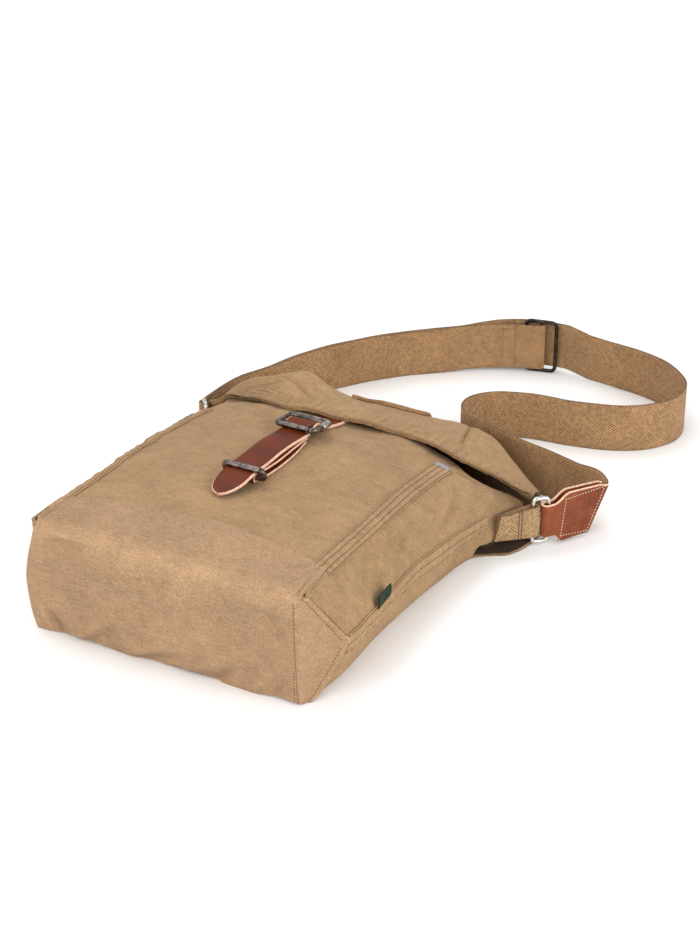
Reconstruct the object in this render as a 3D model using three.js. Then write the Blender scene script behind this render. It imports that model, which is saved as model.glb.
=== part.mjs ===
// A canvas shoulder bag lying on its back, with a folded-over top, a buckled leather strap in front
// and a webbing shoulder strap that stands on its edge behind it.
// Millimetres, +Z up. The bag lies on Z = 0. +Y runs from the base to the mouth, +X across the bag.
// The origin is on the floor, in the middle of the bag's flat back. Lengths along the bag are
// counted from its base, and the whole group is set back at the end.

import * as THREE from "three";

// Driving sizes of the canvas body
const BODY_LENGTH = 252; // base to the front mouth edge
const BASE_HALF = 97; // half the width of the base
const BODY_DEPTH = 80; // front to back at the base
const ORIGIN_FROM_BASE = BODY_LENGTH / 2;
const CANVAS_WALL = 2;
const PIECE_GAP = 0.3; // left between pieces that touch
const BASE_BULGE = 6; // how far the base face swells outwards
const BASE_STRIP = 38; // height of the base panel on the front, at its ends
const BASE_STRIP_BOW = 12; // how much higher it reaches in the middle
const BASE_CORNER_START = 7; // where the boxed corner starts, from the base
const BASE_CORNER_REACH = 27; // where its point lies on the side seam
const SEAM_BAND_THICK = 1.1; // felled seams stand proud of the canvas by this
const FRONT_SEAM_ENDS = 24; // from the mouth, under the hem
const SIDE_SEAM_RIGHT_ENDS = 0.78; // shares of BODY_LENGTH, where the ring tabs cover them
const SIDE_SEAM_LEFT_ENDS = 0.84;

// Folded top
const MOUTH_HALF = 140;
const FOLD_PAST_MOUTH = 50;
const FOLD_REACH = BODY_LENGTH + FOLD_PAST_MOUTH; // base to the crest of the fold
const FOLD_WALL = 2;
const HEM_WALL = 3.2;

// Webbing and hardware
const WEBBING_WIDTH = 38;
const WEBBING_THICK = 1.8;
const TAB_WIDTH = 28;
const RING_WIRE = 3;
const RING_INSIDE = 31; // clear height between a ring's short bars
const RING_SPREAD = 11; // between the middles of its long bars
const RING_HEIGHT = 21.5; // of a ring's middle over the floor
// A ring's middle, by its distance before the mouth edge and its distance out of the side seam, and
// the direction it turns its outer bar to.
const RING_RIGHT = { side: 1, beforeMouth: 12, out: 20.2, turnDeg: 40 };
const RING_LEFT = { side: -1, beforeMouth: -4, out: 9.9, turnDeg: 130 };
// Where each ring's tab is sewn in, in the same way, and how far the sewn end leans inwards.
const TAB_RIGHT_ROOT = { beforeMouth: 36, out: 4, lean: 0.16 };
const TAB_LEFT_ROOT = { beforeMouth: 22, out: 3.2, lean: 0 };
const LEATHER_THICK = 2;
const LEATHER_TAB_LENGTH = 46;
const LEATHER_TAB_WIDTH = 38;
const LEATHER_TAB_NECK = 28;
const SLIDER_SLACK = 1; // clear height over the webbing inside the slider
const SLIDER_LENGTH = 24;
const SLIDER_WIRE = 3;
const SLIDER_BAR = 2.4;

// Front closure
const CLOSURE_X = -5;
const CLOSURE_WIDTH = 22;
const CLOSURE_THICK = 2.6;
const BUCKLE_BEFORE_MOUTH = 55;
const BUCKLE_TO_KEEPER = 90;
const KEEPER_TO_TIP = 26;
const BUCKLE_Y = BODY_LENGTH - BUCKLE_BEFORE_MOUTH;
const KEEPER_Y = BUCKLE_Y - BUCKLE_TO_KEEPER;
const TONGUE_TIP_Y = KEEPER_Y - KEEPER_TO_TIP;
const KEEPER_WIRE = 2.8;
const KEEPER_SPAN = 31;
const KEEPER_RISE = 9.4; // between the middles of its upper and lower bars
const BUCKLE_LENGTH = 24;
const BUCKLE_SPAN = 30;
const BUCKLE_WIRE = 3.2;
const HOLDER_THICK = 1.8;

// The side label sits in the right side seam, at a share of BODY_LENGTH and so many columns above it
const LABEL_ALONG = 0.28;
const LABEL_COLUMNS_UP = 1.3;
const LABEL_LENGTH = 24;
const LABEL_STANDS = 9;
const LABEL_THICK = 1.2;
const HANG_LOOP_LENGTH = 56;
const HANG_LOOP_FROM = -0.12; // its left end, as a share of MOUTH_HALF
const HANG_LOOP_PROFILE = [0.5, 0.62]; // its back and front edge, along the fold's profile
const HANG_LOOP_THICK = 1.8;

// The materials of the pieces
const CANVAS = { color: 0xba976c, roughness: 0.92, metalness: 0 };
const BASE_CANVAS = { color: 0xc09a74, roughness: 0.92, metalness: 0 };
const WEBBING = { color: 0xa07a50, roughness: 0.9, metalness: 0 };
const LEATHER = { color: 0x8e4a30, roughness: 0.5, metalness: 0 };
const SILVER = { color: 0xc8c8be, roughness: 0.3, metalness: 1 };
const DARK_METAL = { color: 0x6a625e, roughness: 0.4, metalness: 1 };
const LABEL_CLOTH = { color: 0x2e4a1e, roughness: 0.9, metalness: 0 };

// One row for each section of the body, from base to mouth. along is a share of BODY_LENGTH. front,
// seam and floor are half widths and shift moves the front sideways, as shares of BASE_HALF. edge,
// crown and seamUp are heights as shares of BODY_DEPTH.
const BODY_SECTIONS = [
  { along: 0.0, front: 0.97, edge: 0.95, crown: 0.965, seam: 1.01, seamUp: 0.47, floor: 0.96, shift: 0 },
  { along: 0.03, front: 1.0, edge: 1.0, crown: 1.02, seam: 1.06, seamUp: 0.48, floor: 0.995, shift: 0 },
  { along: 0.11, front: 0.99, edge: 0.99, crown: 1.04, seam: 1.2, seamUp: 0.5, floor: 1.03, shift: 0 },
  { along: 0.2, front: 0.98, edge: 0.965, crown: 1.04, seam: 1.21, seamUp: 0.5, floor: 1.06, shift: 0 },
  { along: 0.34, front: 0.98, edge: 0.93, crown: 1.03, seam: 1.2, seamUp: 0.5, floor: 1.07, shift: 0 },
  { along: 0.5, front: 0.98, edge: 0.88, crown: 0.995, seam: 1.21, seamUp: 0.48, floor: 1.1, shift: -0.01 },
  { along: 0.67, front: 0.97, edge: 0.79, crown: 0.93, seam: 1.25, seamUp: 0.43, floor: 1.16, shift: -0.03 },
  { along: 0.82, front: 0.97, edge: 0.7, crown: 0.85, seam: 1.31, seamUp: 0.38, floor: 1.25, shift: -0.05 },
  { along: 0.87, front: 0.97, edge: 0.66, crown: 0.81, seam: 1.34, seamUp: 0.36, floor: 1.45, shift: -0.055 },
  { along: 0.92, front: 0.97, edge: 0.61, crown: 0.76, seam: 1.37, seamUp: 0.34, floor: 1.52, shift: -0.06 },
  { along: 1.0, front: 0.97, edge: 0.53, crown: 0.69, seam: 1.42, seamUp: 0.31, floor: 1.55, shift: -0.06 },
];

// The left side seam and floor edge have their own half widths, because the bag lies rolled to its
// left.
const LEFT_SECTIONS = [
  { along: 0.0, seam: 1.07, floor: 0.96 },
  { along: 0.03, seam: 1.09, floor: 0.99 },
  { along: 0.11, seam: 1.08, floor: 1.0 },
  { along: 0.2, seam: 1.07, floor: 1.01 },
  { along: 0.34, seam: 1.07, floor: 1.01 },
  { along: 0.5, seam: 1.08, floor: 1.03 },
  { along: 0.67, seam: 1.09, floor: 1.05 },
  { along: 0.82, seam: 1.11, floor: 1.07 },
  { along: 0.87, seam: 1.12, floor: 1.07 },
  { along: 0.92, seam: 1.12, floor: 1.08 },
  { along: 1.0, seam: 1.12, floor: 1.08 },
];

// One row for each section across the folded top, from left to right. across is a share of
// MOUTH_HALF. hem and crest are distances from the base, as shares of FOLD_REACH. hemUp and crestUp
// are heights as shares of BODY_DEPTH.
const FOLD_SECTIONS = [
  { across: -0.82, hem: 0.875, hemUp: 0.48, crest: 0.93, crestUp: 0.42 },
  { across: -0.7, hem: 0.855, hemUp: 0.66, crest: 0.97, crestUp: 0.62 },
  { across: -0.5, hem: 0.81, hemUp: 0.79, crest: 0.99, crestUp: 0.78 },
  { across: -0.35, hem: 0.79, hemUp: 0.83, crest: 1.0, crestUp: 0.87 },
  { across: -0.24, hem: 0.785, hemUp: 0.84, crest: 1.01, crestUp: 0.72 },
  { across: -0.1, hem: 0.78, hemUp: 0.85, crest: 1.02, crestUp: 0.63 },
  { across: 0.1, hem: 0.79, hemUp: 0.83, crest: 1.03, crestUp: 0.6 },
  { across: 0.3, hem: 0.805, hemUp: 0.78, crest: 1.035, crestUp: 0.58 },
  { across: 0.5, hem: 0.805, hemUp: 0.71, crest: 1.035, crestUp: 0.58 },
  { across: 0.66, hem: 0.795, hemUp: 0.63, crest: 1.015, crestUp: 0.56 },
  { across: 0.82, hem: 0.8, hemUp: 0.53, crest: 0.965, crestUp: 0.46 },
  { across: 1.02, hem: 0.825, hemUp: 0.4, crest: 0.9, crestUp: 0.35 },
];

// The shoulder strap's way over the floor, from the left ring round to the leather tab. across is a
// share of MOUTH_HALF and along a share of BODY_LENGTH. The slider sits on the row that says so.
const STRAP_ROUTE = [
  { across: -0.83, along: 1.19 },
  { across: -0.74, along: 1.3 },
  { across: -0.65, along: 1.42 },
  { across: -0.5, along: 1.55 },
  { across: -0.28, along: 1.685 },
  { across: 0.0, along: 1.8 },
  { across: 0.2, along: 1.868 },
  { across: 0.385, along: 1.905, slider: true },
  { across: 0.56, along: 1.912 },
  { across: 0.76, along: 1.91 },
  { across: 0.98, along: 1.9 },
  { across: 1.18, along: 1.855 },
  { across: 1.32, along: 1.77 },
  { across: 1.335, along: 1.68 },
  { across: 1.26, along: 1.605 },
  { across: 1.1, along: 1.545 },
  { across: 0.86, along: 1.51 },
  { across: 0.63, along: 1.495 },
  { across: 0.46, along: 1.46 },
  { across: 0.36, along: 1.4 },
  { across: 0.37, along: 1.335 },
  { across: 0.48, along: 1.295 },
  { across: 0.66, along: 1.272 },
  { across: 0.85, along: 1.245 },
  { across: 1.05, along: 1.213 },
  { across: 1.22, along: 1.175 },
];

const UP = new THREE.Vector3(0, 0, 1);
const ACROSS = new THREE.Vector3(1, 0, 0);

function point(x, y, z) {
  return new THREE.Vector3(x, y, z);
}

function mix(a, b, share) {
  return a + (b - a) * share;
}

// A smooth value from the rows of a table, read at a place along its first column.
function readTable(rows, key, place, column) {
  let row = 0;
  while (row < rows.length - 2 && place > rows[row + 1][key]) row += 1;
  const before = rows[Math.max(row - 1, 0)];
  const from = rows[row];
  const to = rows[row + 1];
  const after = rows[Math.min(row + 2, rows.length - 1)];
  const span = to[key] - from[key];
  const share = Math.min(Math.max((place - from[key]) / span, 0), 1);
  const slopeFrom = (to[column] - before[column]) / Math.max(to[key] - before[key], 1e-6);
  const slopeTo = (after[column] - from[column]) / Math.max(after[key] - from[key], 1e-6);
  const s2 = share * share;
  const s3 = s2 * share;
  return (
    (2 * s3 - 3 * s2 + 1) * from[column] +
    (s3 - 2 * s2 + share) * span * slopeFrom +
    (-2 * s3 + 3 * s2) * to[column] +
    (s3 - s2) * span * slopeTo
  );
}

// Collects points and faces and gives a closed geometry that faces outwards.
class Solid {
  constructor() {
    this.points = [];
    this.faces = [];
  }

  add(at) {
    this.points.push(at);
    return this.points.length - 1;
  }

  addRow(row) {
    return row.map((at) => this.add(at));
  }

  quad(a, b, c, d) {
    this.faces.push([a, b, c], [a, c, d]);
  }

  // Faces between two rows of the same length.
  join(rowA, rowB, closed) {
    const last = closed ? rowA.length : rowA.length - 1;
    for (let i = 0; i < last; i += 1) {
      const j = (i + 1) % rowA.length;
      this.quad(rowA[i], rowA[j], rowB[j], rowB[i]);
    }
  }

  fan(pole, row, reversed) {
    for (let i = 0; i < row.length; i += 1) {
      const j = (i + 1) % row.length;
      this.faces.push(reversed ? [pole, row[j], row[i]] : [pole, row[i], row[j]]);
    }
  }

  volume() {
    const cross = new THREE.Vector3();
    let sum = 0;
    for (const [a, b, c] of this.faces) {
      cross.crossVectors(this.points[b], this.points[c]);
      sum += this.points[a].dot(cross);
    }
    return sum / 6;
  }

  geometry() {
    const flip = this.volume() < 0;
    const made = new THREE.BufferGeometry();
    const places = this.points.flatMap((at) => [at.x, at.y, at.z]);
    made.setAttribute("position", new THREE.Float32BufferAttribute(places, 3));
    made.setIndex(this.faces.flatMap(([a, b, c]) => (flip ? [a, c, b] : [a, b, c])));
    made.computeVertexNormals();
    return made;
  }
}

// A wall between an outer and an inner grid of points.
function wallBetween(outer, inner) {
  const solid = new Solid();
  const out = outer.map((row) => solid.addRow(row));
  const into = inner.map((row) => solid.addRow(row));
  const last = out.length - 1;
  for (let r = 0; r < last; r += 1) {
    solid.join(out[r], out[r + 1], false);
    solid.join(into[r + 1], into[r], false);
  }
  solid.join(into[0], out[0], false);
  solid.join(out[last], into[last], false);
  const right = out[0].length - 1;
  const columnOf = (grid, c) => grid.map((row) => row[c]);
  solid.join(columnOf(out, 0), columnOf(into, 0), false);
  solid.join(columnOf(into, right), columnOf(out, right), false);
  return solid.geometry();
}

// A solid swept through rings of points. It closes on itself, or has flat ends.
function sweep(rings, closed) {
  const solid = new Solid();
  const rows = rings.map((ring) => solid.addRow(ring));
  for (let r = 0; r < rows.length - 1; r += 1) solid.join(rows[r], rows[r + 1], true);
  if (closed) {
    solid.join(rows[rows.length - 1], rows[0], true);
    return solid.geometry();
  }
  const ends = [rows[0], rows[rows.length - 1]];
  ends.forEach((row, end) => {
    for (let i = 1; i < row.length - 1; i += 1) {
      const face = [row[0], row[i], row[i + 1]];
      solid.faces.push(end === 0 ? face.reverse() : face);
    }
  });
  return solid.geometry();
}

// A flat band along a path. Each station has its middle, its direction across and its half width.
function band(stations, thick) {
  const rings = stations.map((station, i) => {
    const before = stations[Math.max(i - 1, 0)].at;
    const after = stations[Math.min(i + 1, stations.length - 1)].at;
    const tangent = after.clone().sub(before).normalize();
    const across = station.across.clone().normalize();
    const normal = tangent.clone().cross(across).normalize();
    const corner = (side, face) =>
      station.at
        .clone()
        .addScaledVector(across, side * station.half)
        .addScaledVector(normal, (face * thick) / 2);
    return [corner(-1, -1), corner(1, -1), corner(1, 1), corner(-1, 1)];
  });
  return sweep(rings, false);
}

// A round wire bent to a rounded rectangle in the plane of two directions.
function wireLoop(middle, lengthways, sideways, length, width, corner, wire) {
  const sides = 8;
  const steps = 3;
  const facing = lengthways.clone().cross(sideways);
  const rings = [];
  const quarters = [
    [1, 1],
    [-1, 1],
    [-1, -1],
    [1, -1],
  ];
  quarters.forEach(([signL, signW], quarter) => {
    for (let k = 0; k <= steps; k += 1) {
      const angle = ((quarter + k / steps) * Math.PI) / 2;
      const out = lengthways
        .clone()
        .multiplyScalar(Math.cos(angle))
        .addScaledVector(sideways, Math.sin(angle));
      const at = middle
        .clone()
        .addScaledVector(lengthways, signL * (length / 2 - corner))
        .addScaledVector(sideways, signW * (width / 2 - corner))
        .addScaledVector(out, corner);
      rings.push(
        Array.from({ length: sides }, (_, i) => {
          const turn = (i * 2 * Math.PI) / sides;
          return at
            .clone()
            .addScaledVector(out, (Math.cos(turn) * wire) / 2)
            .addScaledVector(facing, (Math.sin(turn) * wire) / 2);
        }),
      );
    }
  });
  return sweep(rings, true);
}

// A straight round bar between two points.
function bar(from, to, diameter) {
  const made = new THREE.CylinderGeometry(diameter / 2, diameter / 2, from.distanceTo(to), 10);
  const turn = new THREE.Quaternion().setFromUnitVectors(
    new THREE.Vector3(0, 1, 0),
    to.clone().sub(from).normalize(),
  );
  made.applyQuaternion(turn);
  const middle = from.clone().add(to).multiplyScalar(0.5);
  made.translate(middle.x, middle.y, middle.z);
  made.deleteAttribute("normal");
  made.deleteAttribute("uv");
  return made;
}

// Round the body: columns are counted over the front from left to right, down the right side, back
// along the floor and up the left side. A whole number is a column and its fraction lies between.
const FRONT_COLUMNS = 12;
const SIDE_COLUMNS = 4;
const FLOOR_COLUMNS = 8;
const FRONT_RIGHT = FRONT_COLUMNS;
const SEAM_RIGHT = FRONT_RIGHT + SIDE_COLUMNS;
const FLOOR_RIGHT = SEAM_RIGHT + SIDE_COLUMNS;
const FLOOR_LEFT = FLOOR_RIGHT + FLOOR_COLUMNS;
const SEAM_LEFT = FLOOR_LEFT + SIDE_COLUMNS;
const ALL_COLUMNS = SEAM_LEFT + SIDE_COLUMNS;
const UPPER_LEAN = 0.7;
const LOWER_LEAN = 0.25;

function sectionAt(along) {
  const read = (column) => readTable(BODY_SECTIONS, "along", along, column);
  const readLeft = (column) => readTable(LEFT_SECTIONS, "along", along, column);
  return {
    front: read("front") * BASE_HALF,
    edge: read("edge") * BODY_DEPTH,
    crown: read("crown") * BODY_DEPTH,
    seam: read("seam") * BASE_HALF,
    seamUp: read("seamUp") * BODY_DEPTH,
    floor: read("floor") * BASE_HALF,
    seamLeft: readLeft("seam") * BASE_HALF,
    floorLeft: readLeft("floor") * BASE_HALF,
    shift: read("shift") * BASE_HALF,
  };
}

// A side's point, on a soft curve between its two corners. lean says how near the second corner's
// width the curve's control lies.
function sidePoint(fromX, fromZ, toX, toZ, share, lean) {
  const controlX = mix(fromX, toX, lean);
  const controlZ = mix(fromZ, toZ, toZ === 0 ? 0.8 : 0.5);
  const a = (1 - share) * (1 - share);
  const b = 2 * share * (1 - share);
  const c = share * share;
  return [a * fromX + b * controlX + c * toX, a * fromZ + b * controlZ + c * toZ];
}

function outline(section, column) {
  const place = (column + ALL_COLUMNS) % ALL_COLUMNS;
  const { front, edge, shift, seam, seamUp, floor, seamLeft, floorLeft } = section;
  if (place <= FRONT_RIGHT) {
    const across = (2 * place) / FRONT_COLUMNS - 1;
    return [shift + across * front, mix(edge, section.crown, 1 - across * across)];
  }
  if (place <= SEAM_RIGHT) {
    const share = (place - FRONT_RIGHT) / SIDE_COLUMNS;
    return sidePoint(shift + front, edge, seam, seamUp, share, UPPER_LEAN);
  }
  if (place <= FLOOR_RIGHT) {
    const share = (place - SEAM_RIGHT) / SIDE_COLUMNS;
    return sidePoint(seam, seamUp, floor, 0, share, LOWER_LEAN);
  }
  if (place <= FLOOR_LEFT) {
    const share = (place - FLOOR_RIGHT) / FLOOR_COLUMNS;
    return [mix(floor, -floorLeft, share), 0];
  }
  if (place <= SEAM_LEFT) {
    const share = (SEAM_LEFT - place) / SIDE_COLUMNS;
    const [x, z] = sidePoint(seamLeft, seamUp, floorLeft, 0, share, LOWER_LEAN);
    return [-x, z];
  }
  const share = (ALL_COLUMNS - place) / SIDE_COLUMNS;
  const [x, z] = sidePoint(front - shift, edge, seamLeft, seamUp, share, UPPER_LEAN);
  return [-x, z];
}

// A point of the body's canvas, lifted out of its surface (a negative lift goes inwards).
function skinPoint(column, y, lift) {
  const section = sectionAt(y / BODY_LENGTH);
  const [x, z] = outline(section, column);
  const [x0, z0] = outline(section, column - 0.2);
  const [x1, z1] = outline(section, column + 0.2);
  const run = Math.hypot(x1 - x0, z1 - z0);
  return point(x - (lift * (z1 - z0)) / run, y, z + (lift * (x1 - x0)) / run);
}

// Where the base panel ends on each column.
function baseLimit(column) {
  const place = (column + ALL_COLUMNS) % ALL_COLUMNS;
  const strip = (share) => BASE_STRIP + BASE_STRIP_BOW * (1 - share * share);
  const corner = (share) => mix(BASE_CORNER_START, BASE_CORNER_REACH, share);
  if (place <= FRONT_RIGHT) return strip((2 * place) / FRONT_COLUMNS - 1);
  if (place <= SEAM_RIGHT) return corner((place - FRONT_RIGHT) / SIDE_COLUMNS);
  if (place < FLOOR_RIGHT) return corner((FLOOR_RIGHT - place) / SIDE_COLUMNS);
  if (place <= FLOOR_LEFT) return strip((2 * (place - FLOOR_RIGHT)) / FLOOR_COLUMNS - 1);
  if (place <= SEAM_LEFT) return corner((place - FLOOR_LEFT) / SIDE_COLUMNS);
  return corner((ALL_COLUMNS - place) / SIDE_COLUMNS);
}

function steps(from, to, count) {
  return Array.from({ length: count + 1 }, (_, i) => mix(from, to, i / count));
}

// The base panel: the base face, swollen a little, and the strips and corners that turn up from it.
function basePanel() {
  const columns = steps(0, ALL_COLUMNS, ALL_COLUMNS).slice(0, -1);
  const faceRing = (scale, lift) =>
    columns.map((column) => {
      const rim = skinPoint(column, 0, lift);
      const middleZ = BODY_DEPTH * 0.47;
      const swell = -BASE_BULGE * (1 - scale * scale) - lift;
      const low = rim.z === 0 && scale === 1 ? 0 : mix(middleZ, rim.z, scale);
      return point(rim.x * scale, swell, low);
    });
  const sideRing = (share, lift, start) =>
    columns.map((column) => skinPoint(column, mix(start, baseLimit(column), share), lift));
  const solid = new Solid();
  const make = (lift, start) => {
    const rings = [0.35, 0.7, 1].map((scale) => faceRing(scale, lift));
    for (const share of [0.2, 0.6, 1]) rings.push(sideRing(share, lift, start));
    return rings.map((ring) => solid.addRow(ring));
  };
  const outer = make(0, 0);
  const inner = make(-CANVAS_WALL, CANVAS_WALL);
  for (let r = 0; r < outer.length - 1; r += 1) {
    solid.join(outer[r], outer[r + 1], true);
    solid.join(inner[r + 1], inner[r], true);
  }
  solid.join(outer[outer.length - 1], inner[inner.length - 1], true);
  const middleZ = BODY_DEPTH * 0.47;
  solid.fan(solid.add(point(0, -BASE_BULGE, middleZ)), outer[0], true);
  solid.fan(solid.add(point(0, -BASE_BULGE + CANVAS_WALL, middleZ)), inner[0], false);
  return solid.geometry();
}

// A canvas panel over a run of columns, from the base panel's edge to the mouth.
function canvasPanel(fromColumn, toColumn, mouthY) {
  const trim = 0.03;
  const columns = steps(fromColumn, toColumn, toColumn - fromColumn);
  columns[0] += trim;
  columns[columns.length - 1] -= trim;
  const limits = columns.map((column) => {
    const low = Math.floor(column);
    const before = baseLimit(low);
    const after = baseLimit(low + 1);
    const steep = Math.max(Math.abs(after - before), Math.abs(before - baseLimit(low - 1)));
    return mix(before, after, column - low) + PIECE_GAP * (2.2 + steep / 3);
  });
  const grid = (lift) =>
    steps(0, 1, 9).map((share) =>
      columns.map((column, i) => skinPoint(column, mix(limits[i], mouthY, share), lift)),
    );
  return wallBetween(grid(0), grid(-CANVAS_WALL));
}

// A felled seam's raised band over the joint of two panels. before and after are its widths on each
// side of the joint, in columns.
function seamBand(column, before, after, [fromY, toY]) {
  const columns = [column - before, column, column + after];
  const grid = (lift) =>
    steps(fromY, toY, 10).map((y) => columns.map((place) => skinPoint(place, y, lift)));
  return wallBetween(grid(2 * PIECE_GAP + SEAM_BAND_THICK), grid(2 * PIECE_GAP));
}

// The folded top's profile at a place across it: distance from the base and height, from the floor
// behind the mouth, round the crest and forward to the hem. share runs from 0 to 1.
function foldProfile(across, share) {
  const read = (column) => readTable(FOLD_SECTIONS, "across", across, column);
  const hem = read("hem") * FOLD_REACH;
  const hemUp = read("hemUp") * BODY_DEPTH;
  const crest = read("crest") * FOLD_REACH;
  const crestUp = read("crestUp") * BODY_DEPTH;
  const start = BODY_LENGTH + PIECE_GAP;
  const slope = Math.max(crest - start, 1);
  const turn = crestUp * 0.4;
  const rows = [
    { share: 0.0, y: start, z: 0 },
    { share: 0.2, y: start + slope * 0.55, z: 0 },
    { share: 0.34, y: crest - turn * 0.25, z: crestUp * 0.1 },
    { share: 0.45, y: crest, z: crestUp * 0.48 },
    { share: 0.56, y: crest - turn * 0.3, z: crestUp * 0.86 },
    { share: 0.66, y: crest - turn, z: crestUp },
    { share: 0.82, y: mix(crest - turn, hem, 0.5), z: mix(crestUp, hemUp, 0.55) },
    { share: 1.0, y: hem, z: hemUp },
  ];
  return [readTable(rows, "share", share, "y"), Math.max(readTable(rows, "share", share, "z"), 0)];
}

// A point of the folded top, lifted out of its surface.
function foldPoint(across, share, lift) {
  const [y, z] = foldProfile(across, share);
  const [y0, z0] = foldProfile(across, Math.max(share - 0.01, 0));
  const [y1, z1] = foldProfile(across, Math.min(share + 0.01, 1));
  const run = Math.hypot(y1 - y0, z1 - z0);
  const onFloor = z === 0 && lift === 0;
  return point(
    across * MOUTH_HALF,
    y + (lift * (z1 - z0)) / run,
    onFloor ? 0 : z - (lift * (y1 - y0)) / run,
  );
}

const FOLD_LEFT_END = FOLD_SECTIONS[0].across;
const FOLD_RIGHT_END = FOLD_SECTIONS[FOLD_SECTIONS.length - 1].across;
const HEM_SHARE = 0.88; // where the flap ends and its hem band starts, along the profile
const HEM_APART = 0.02; // half the joint between the two

function foldWall(fromShare, toShare, count, lift, wall) {
  const grid = (height) =>
    steps(FOLD_LEFT_END, FOLD_RIGHT_END, 20).map((across) =>
      steps(fromShare, toShare, count).map((share) => foldPoint(across, share, height)),
    );
  return wallBetween(grid(lift), grid(lift - wall));
}

function foldedTop() {
  return foldWall(0, HEM_SHARE - HEM_APART, 13, 0, FOLD_WALL);
}

function foldHem() {
  return foldWall(HEM_SHARE + HEM_APART, 1, 2, (HEM_WALL - FOLD_WALL) / 2, HEM_WALL);
}

function hangLoop() {
  const to = HANG_LOOP_FROM + HANG_LOOP_LENGTH / MOUTH_HALF;
  const [back, front] = HANG_LOOP_PROFILE;
  const grid = (lift) =>
    steps(HANG_LOOP_FROM, to, 4).map((across) =>
      steps(back, front, 3).map((share) => foldPoint(across, share, lift)),
    );
  return wallBetween(grid(2 * PIECE_GAP + HANG_LOOP_THICK), grid(2 * PIECE_GAP));
}

// The plain folded label in the right side seam.
function sideLabel() {
  const y = LABEL_ALONG * BODY_LENGTH;
  const column = SEAM_RIGHT - LABEL_COLUMNS_UP;
  const out = skinPoint(column, y, 1).sub(skinPoint(column, y, 0));
  const middle = skinPoint(column, y, 2 * PIECE_GAP + LABEL_STANDS / 2);
  const stations = [-0.5, 0.5].map((end) => ({
    at: middle.clone().add(point(0, end * LABEL_LENGTH, 0)),
    across: out,
    half: LABEL_STANDS / 2,
  }));
  return band(stations, LABEL_THICK);
}

// Height of the bag's front at the closure.
function frontHeight(y) {
  const section = sectionAt(y / BODY_LENGTH);
  const across = (CLOSURE_X - section.shift) / section.front;
  return mix(section.edge, section.crown, 1 - across * across);
}

function closureBand(rows, thick) {
  const stations = rows.map(({ y, lift, half }) => ({
    at: point(CLOSURE_X, y, frontHeight(Math.min(y, BODY_LENGTH)) + lift),
    across: ACROSS,
    half,
  }));
  return band(stations, thick);
}

// Heights of the closure's layers over the bag's front, worked out from their thicknesses.
const HOLDER_TURN = KEEPER_WIRE / 2 + PIECE_GAP + HOLDER_THICK / 2;
const KEEPER_LOW = PIECE_GAP + HOLDER_THICK / 2 + HOLDER_TURN;
const TONGUE_AT_KEEPER = KEEPER_LOW + HOLDER_TURN + HOLDER_THICK / 2 + PIECE_GAP + CLOSURE_THICK / 2;
const HOLDER_TOP = 2 * (PIECE_GAP + HOLDER_THICK);
const STRAP_OVER_HOLDER = HOLDER_TOP + PIECE_GAP + CLOSURE_THICK / 2;
const BUCKLE_LIFT = STRAP_OVER_HOLDER + CLOSURE_THICK / 2 + PIECE_GAP + BUCKLE_WIRE / 2;
const BUCKLE_BAR = 2;
const BUCKLE_BAR_LIFT = BUCKLE_LIFT - BUCKLE_WIRE / 2 - PIECE_GAP - BUCKLE_BAR / 2;

// The long leather strap: from under the hem, through the buckle and the keeper, to its tip.
function closureStrap() {
  const half = CLOSURE_WIDTH / 2;
  const under = PIECE_GAP + CLOSURE_THICK / 2;
  const endY = BODY_LENGTH - 6;
  const hump = BUCKLE_BAR_LIFT + BUCKLE_BAR / 2 + PIECE_GAP + CLOSURE_THICK / 2;
  const buckleEnd = BUCKLE_LENGTH / 2;
  const rows = [
    { y: endY, lift: under, half },
    { y: BUCKLE_Y + buckleEnd + 8, lift: under + 0.4, half },
    { y: BUCKLE_Y + buckleEnd, lift: STRAP_OVER_HOLDER - 0.4, half },
    { y: BUCKLE_Y + 3, lift: hump, half },
    { y: BUCKLE_Y - 3, lift: hump, half },
    { y: BUCKLE_Y - buckleEnd, lift: STRAP_OVER_HOLDER, half },
    { y: BUCKLE_Y - buckleEnd - 10, lift: STRAP_OVER_HOLDER + 0.6, half },
    { y: mix(BUCKLE_Y, KEEPER_Y, 0.5), lift: TONGUE_AT_KEEPER - 0.6, half },
    { y: KEEPER_Y + 12, lift: TONGUE_AT_KEEPER, half },
    { y: KEEPER_Y, lift: TONGUE_AT_KEEPER, half },
    { y: KEEPER_Y - 8, lift: TONGUE_AT_KEEPER - 1, half: half * 0.97 },
    { y: mix(TONGUE_TIP_Y, KEEPER_Y, 0.4), lift: TONGUE_AT_KEEPER - 3, half: half * 0.84 },
    { y: TONGUE_TIP_Y + 4, lift: under + 2.4, half: half * 0.58 },
    { y: TONGUE_TIP_Y, lift: under + 1.4, half: half * 0.3 },
  ];
  return closureBand(rows, CLOSURE_THICK);
}

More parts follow.
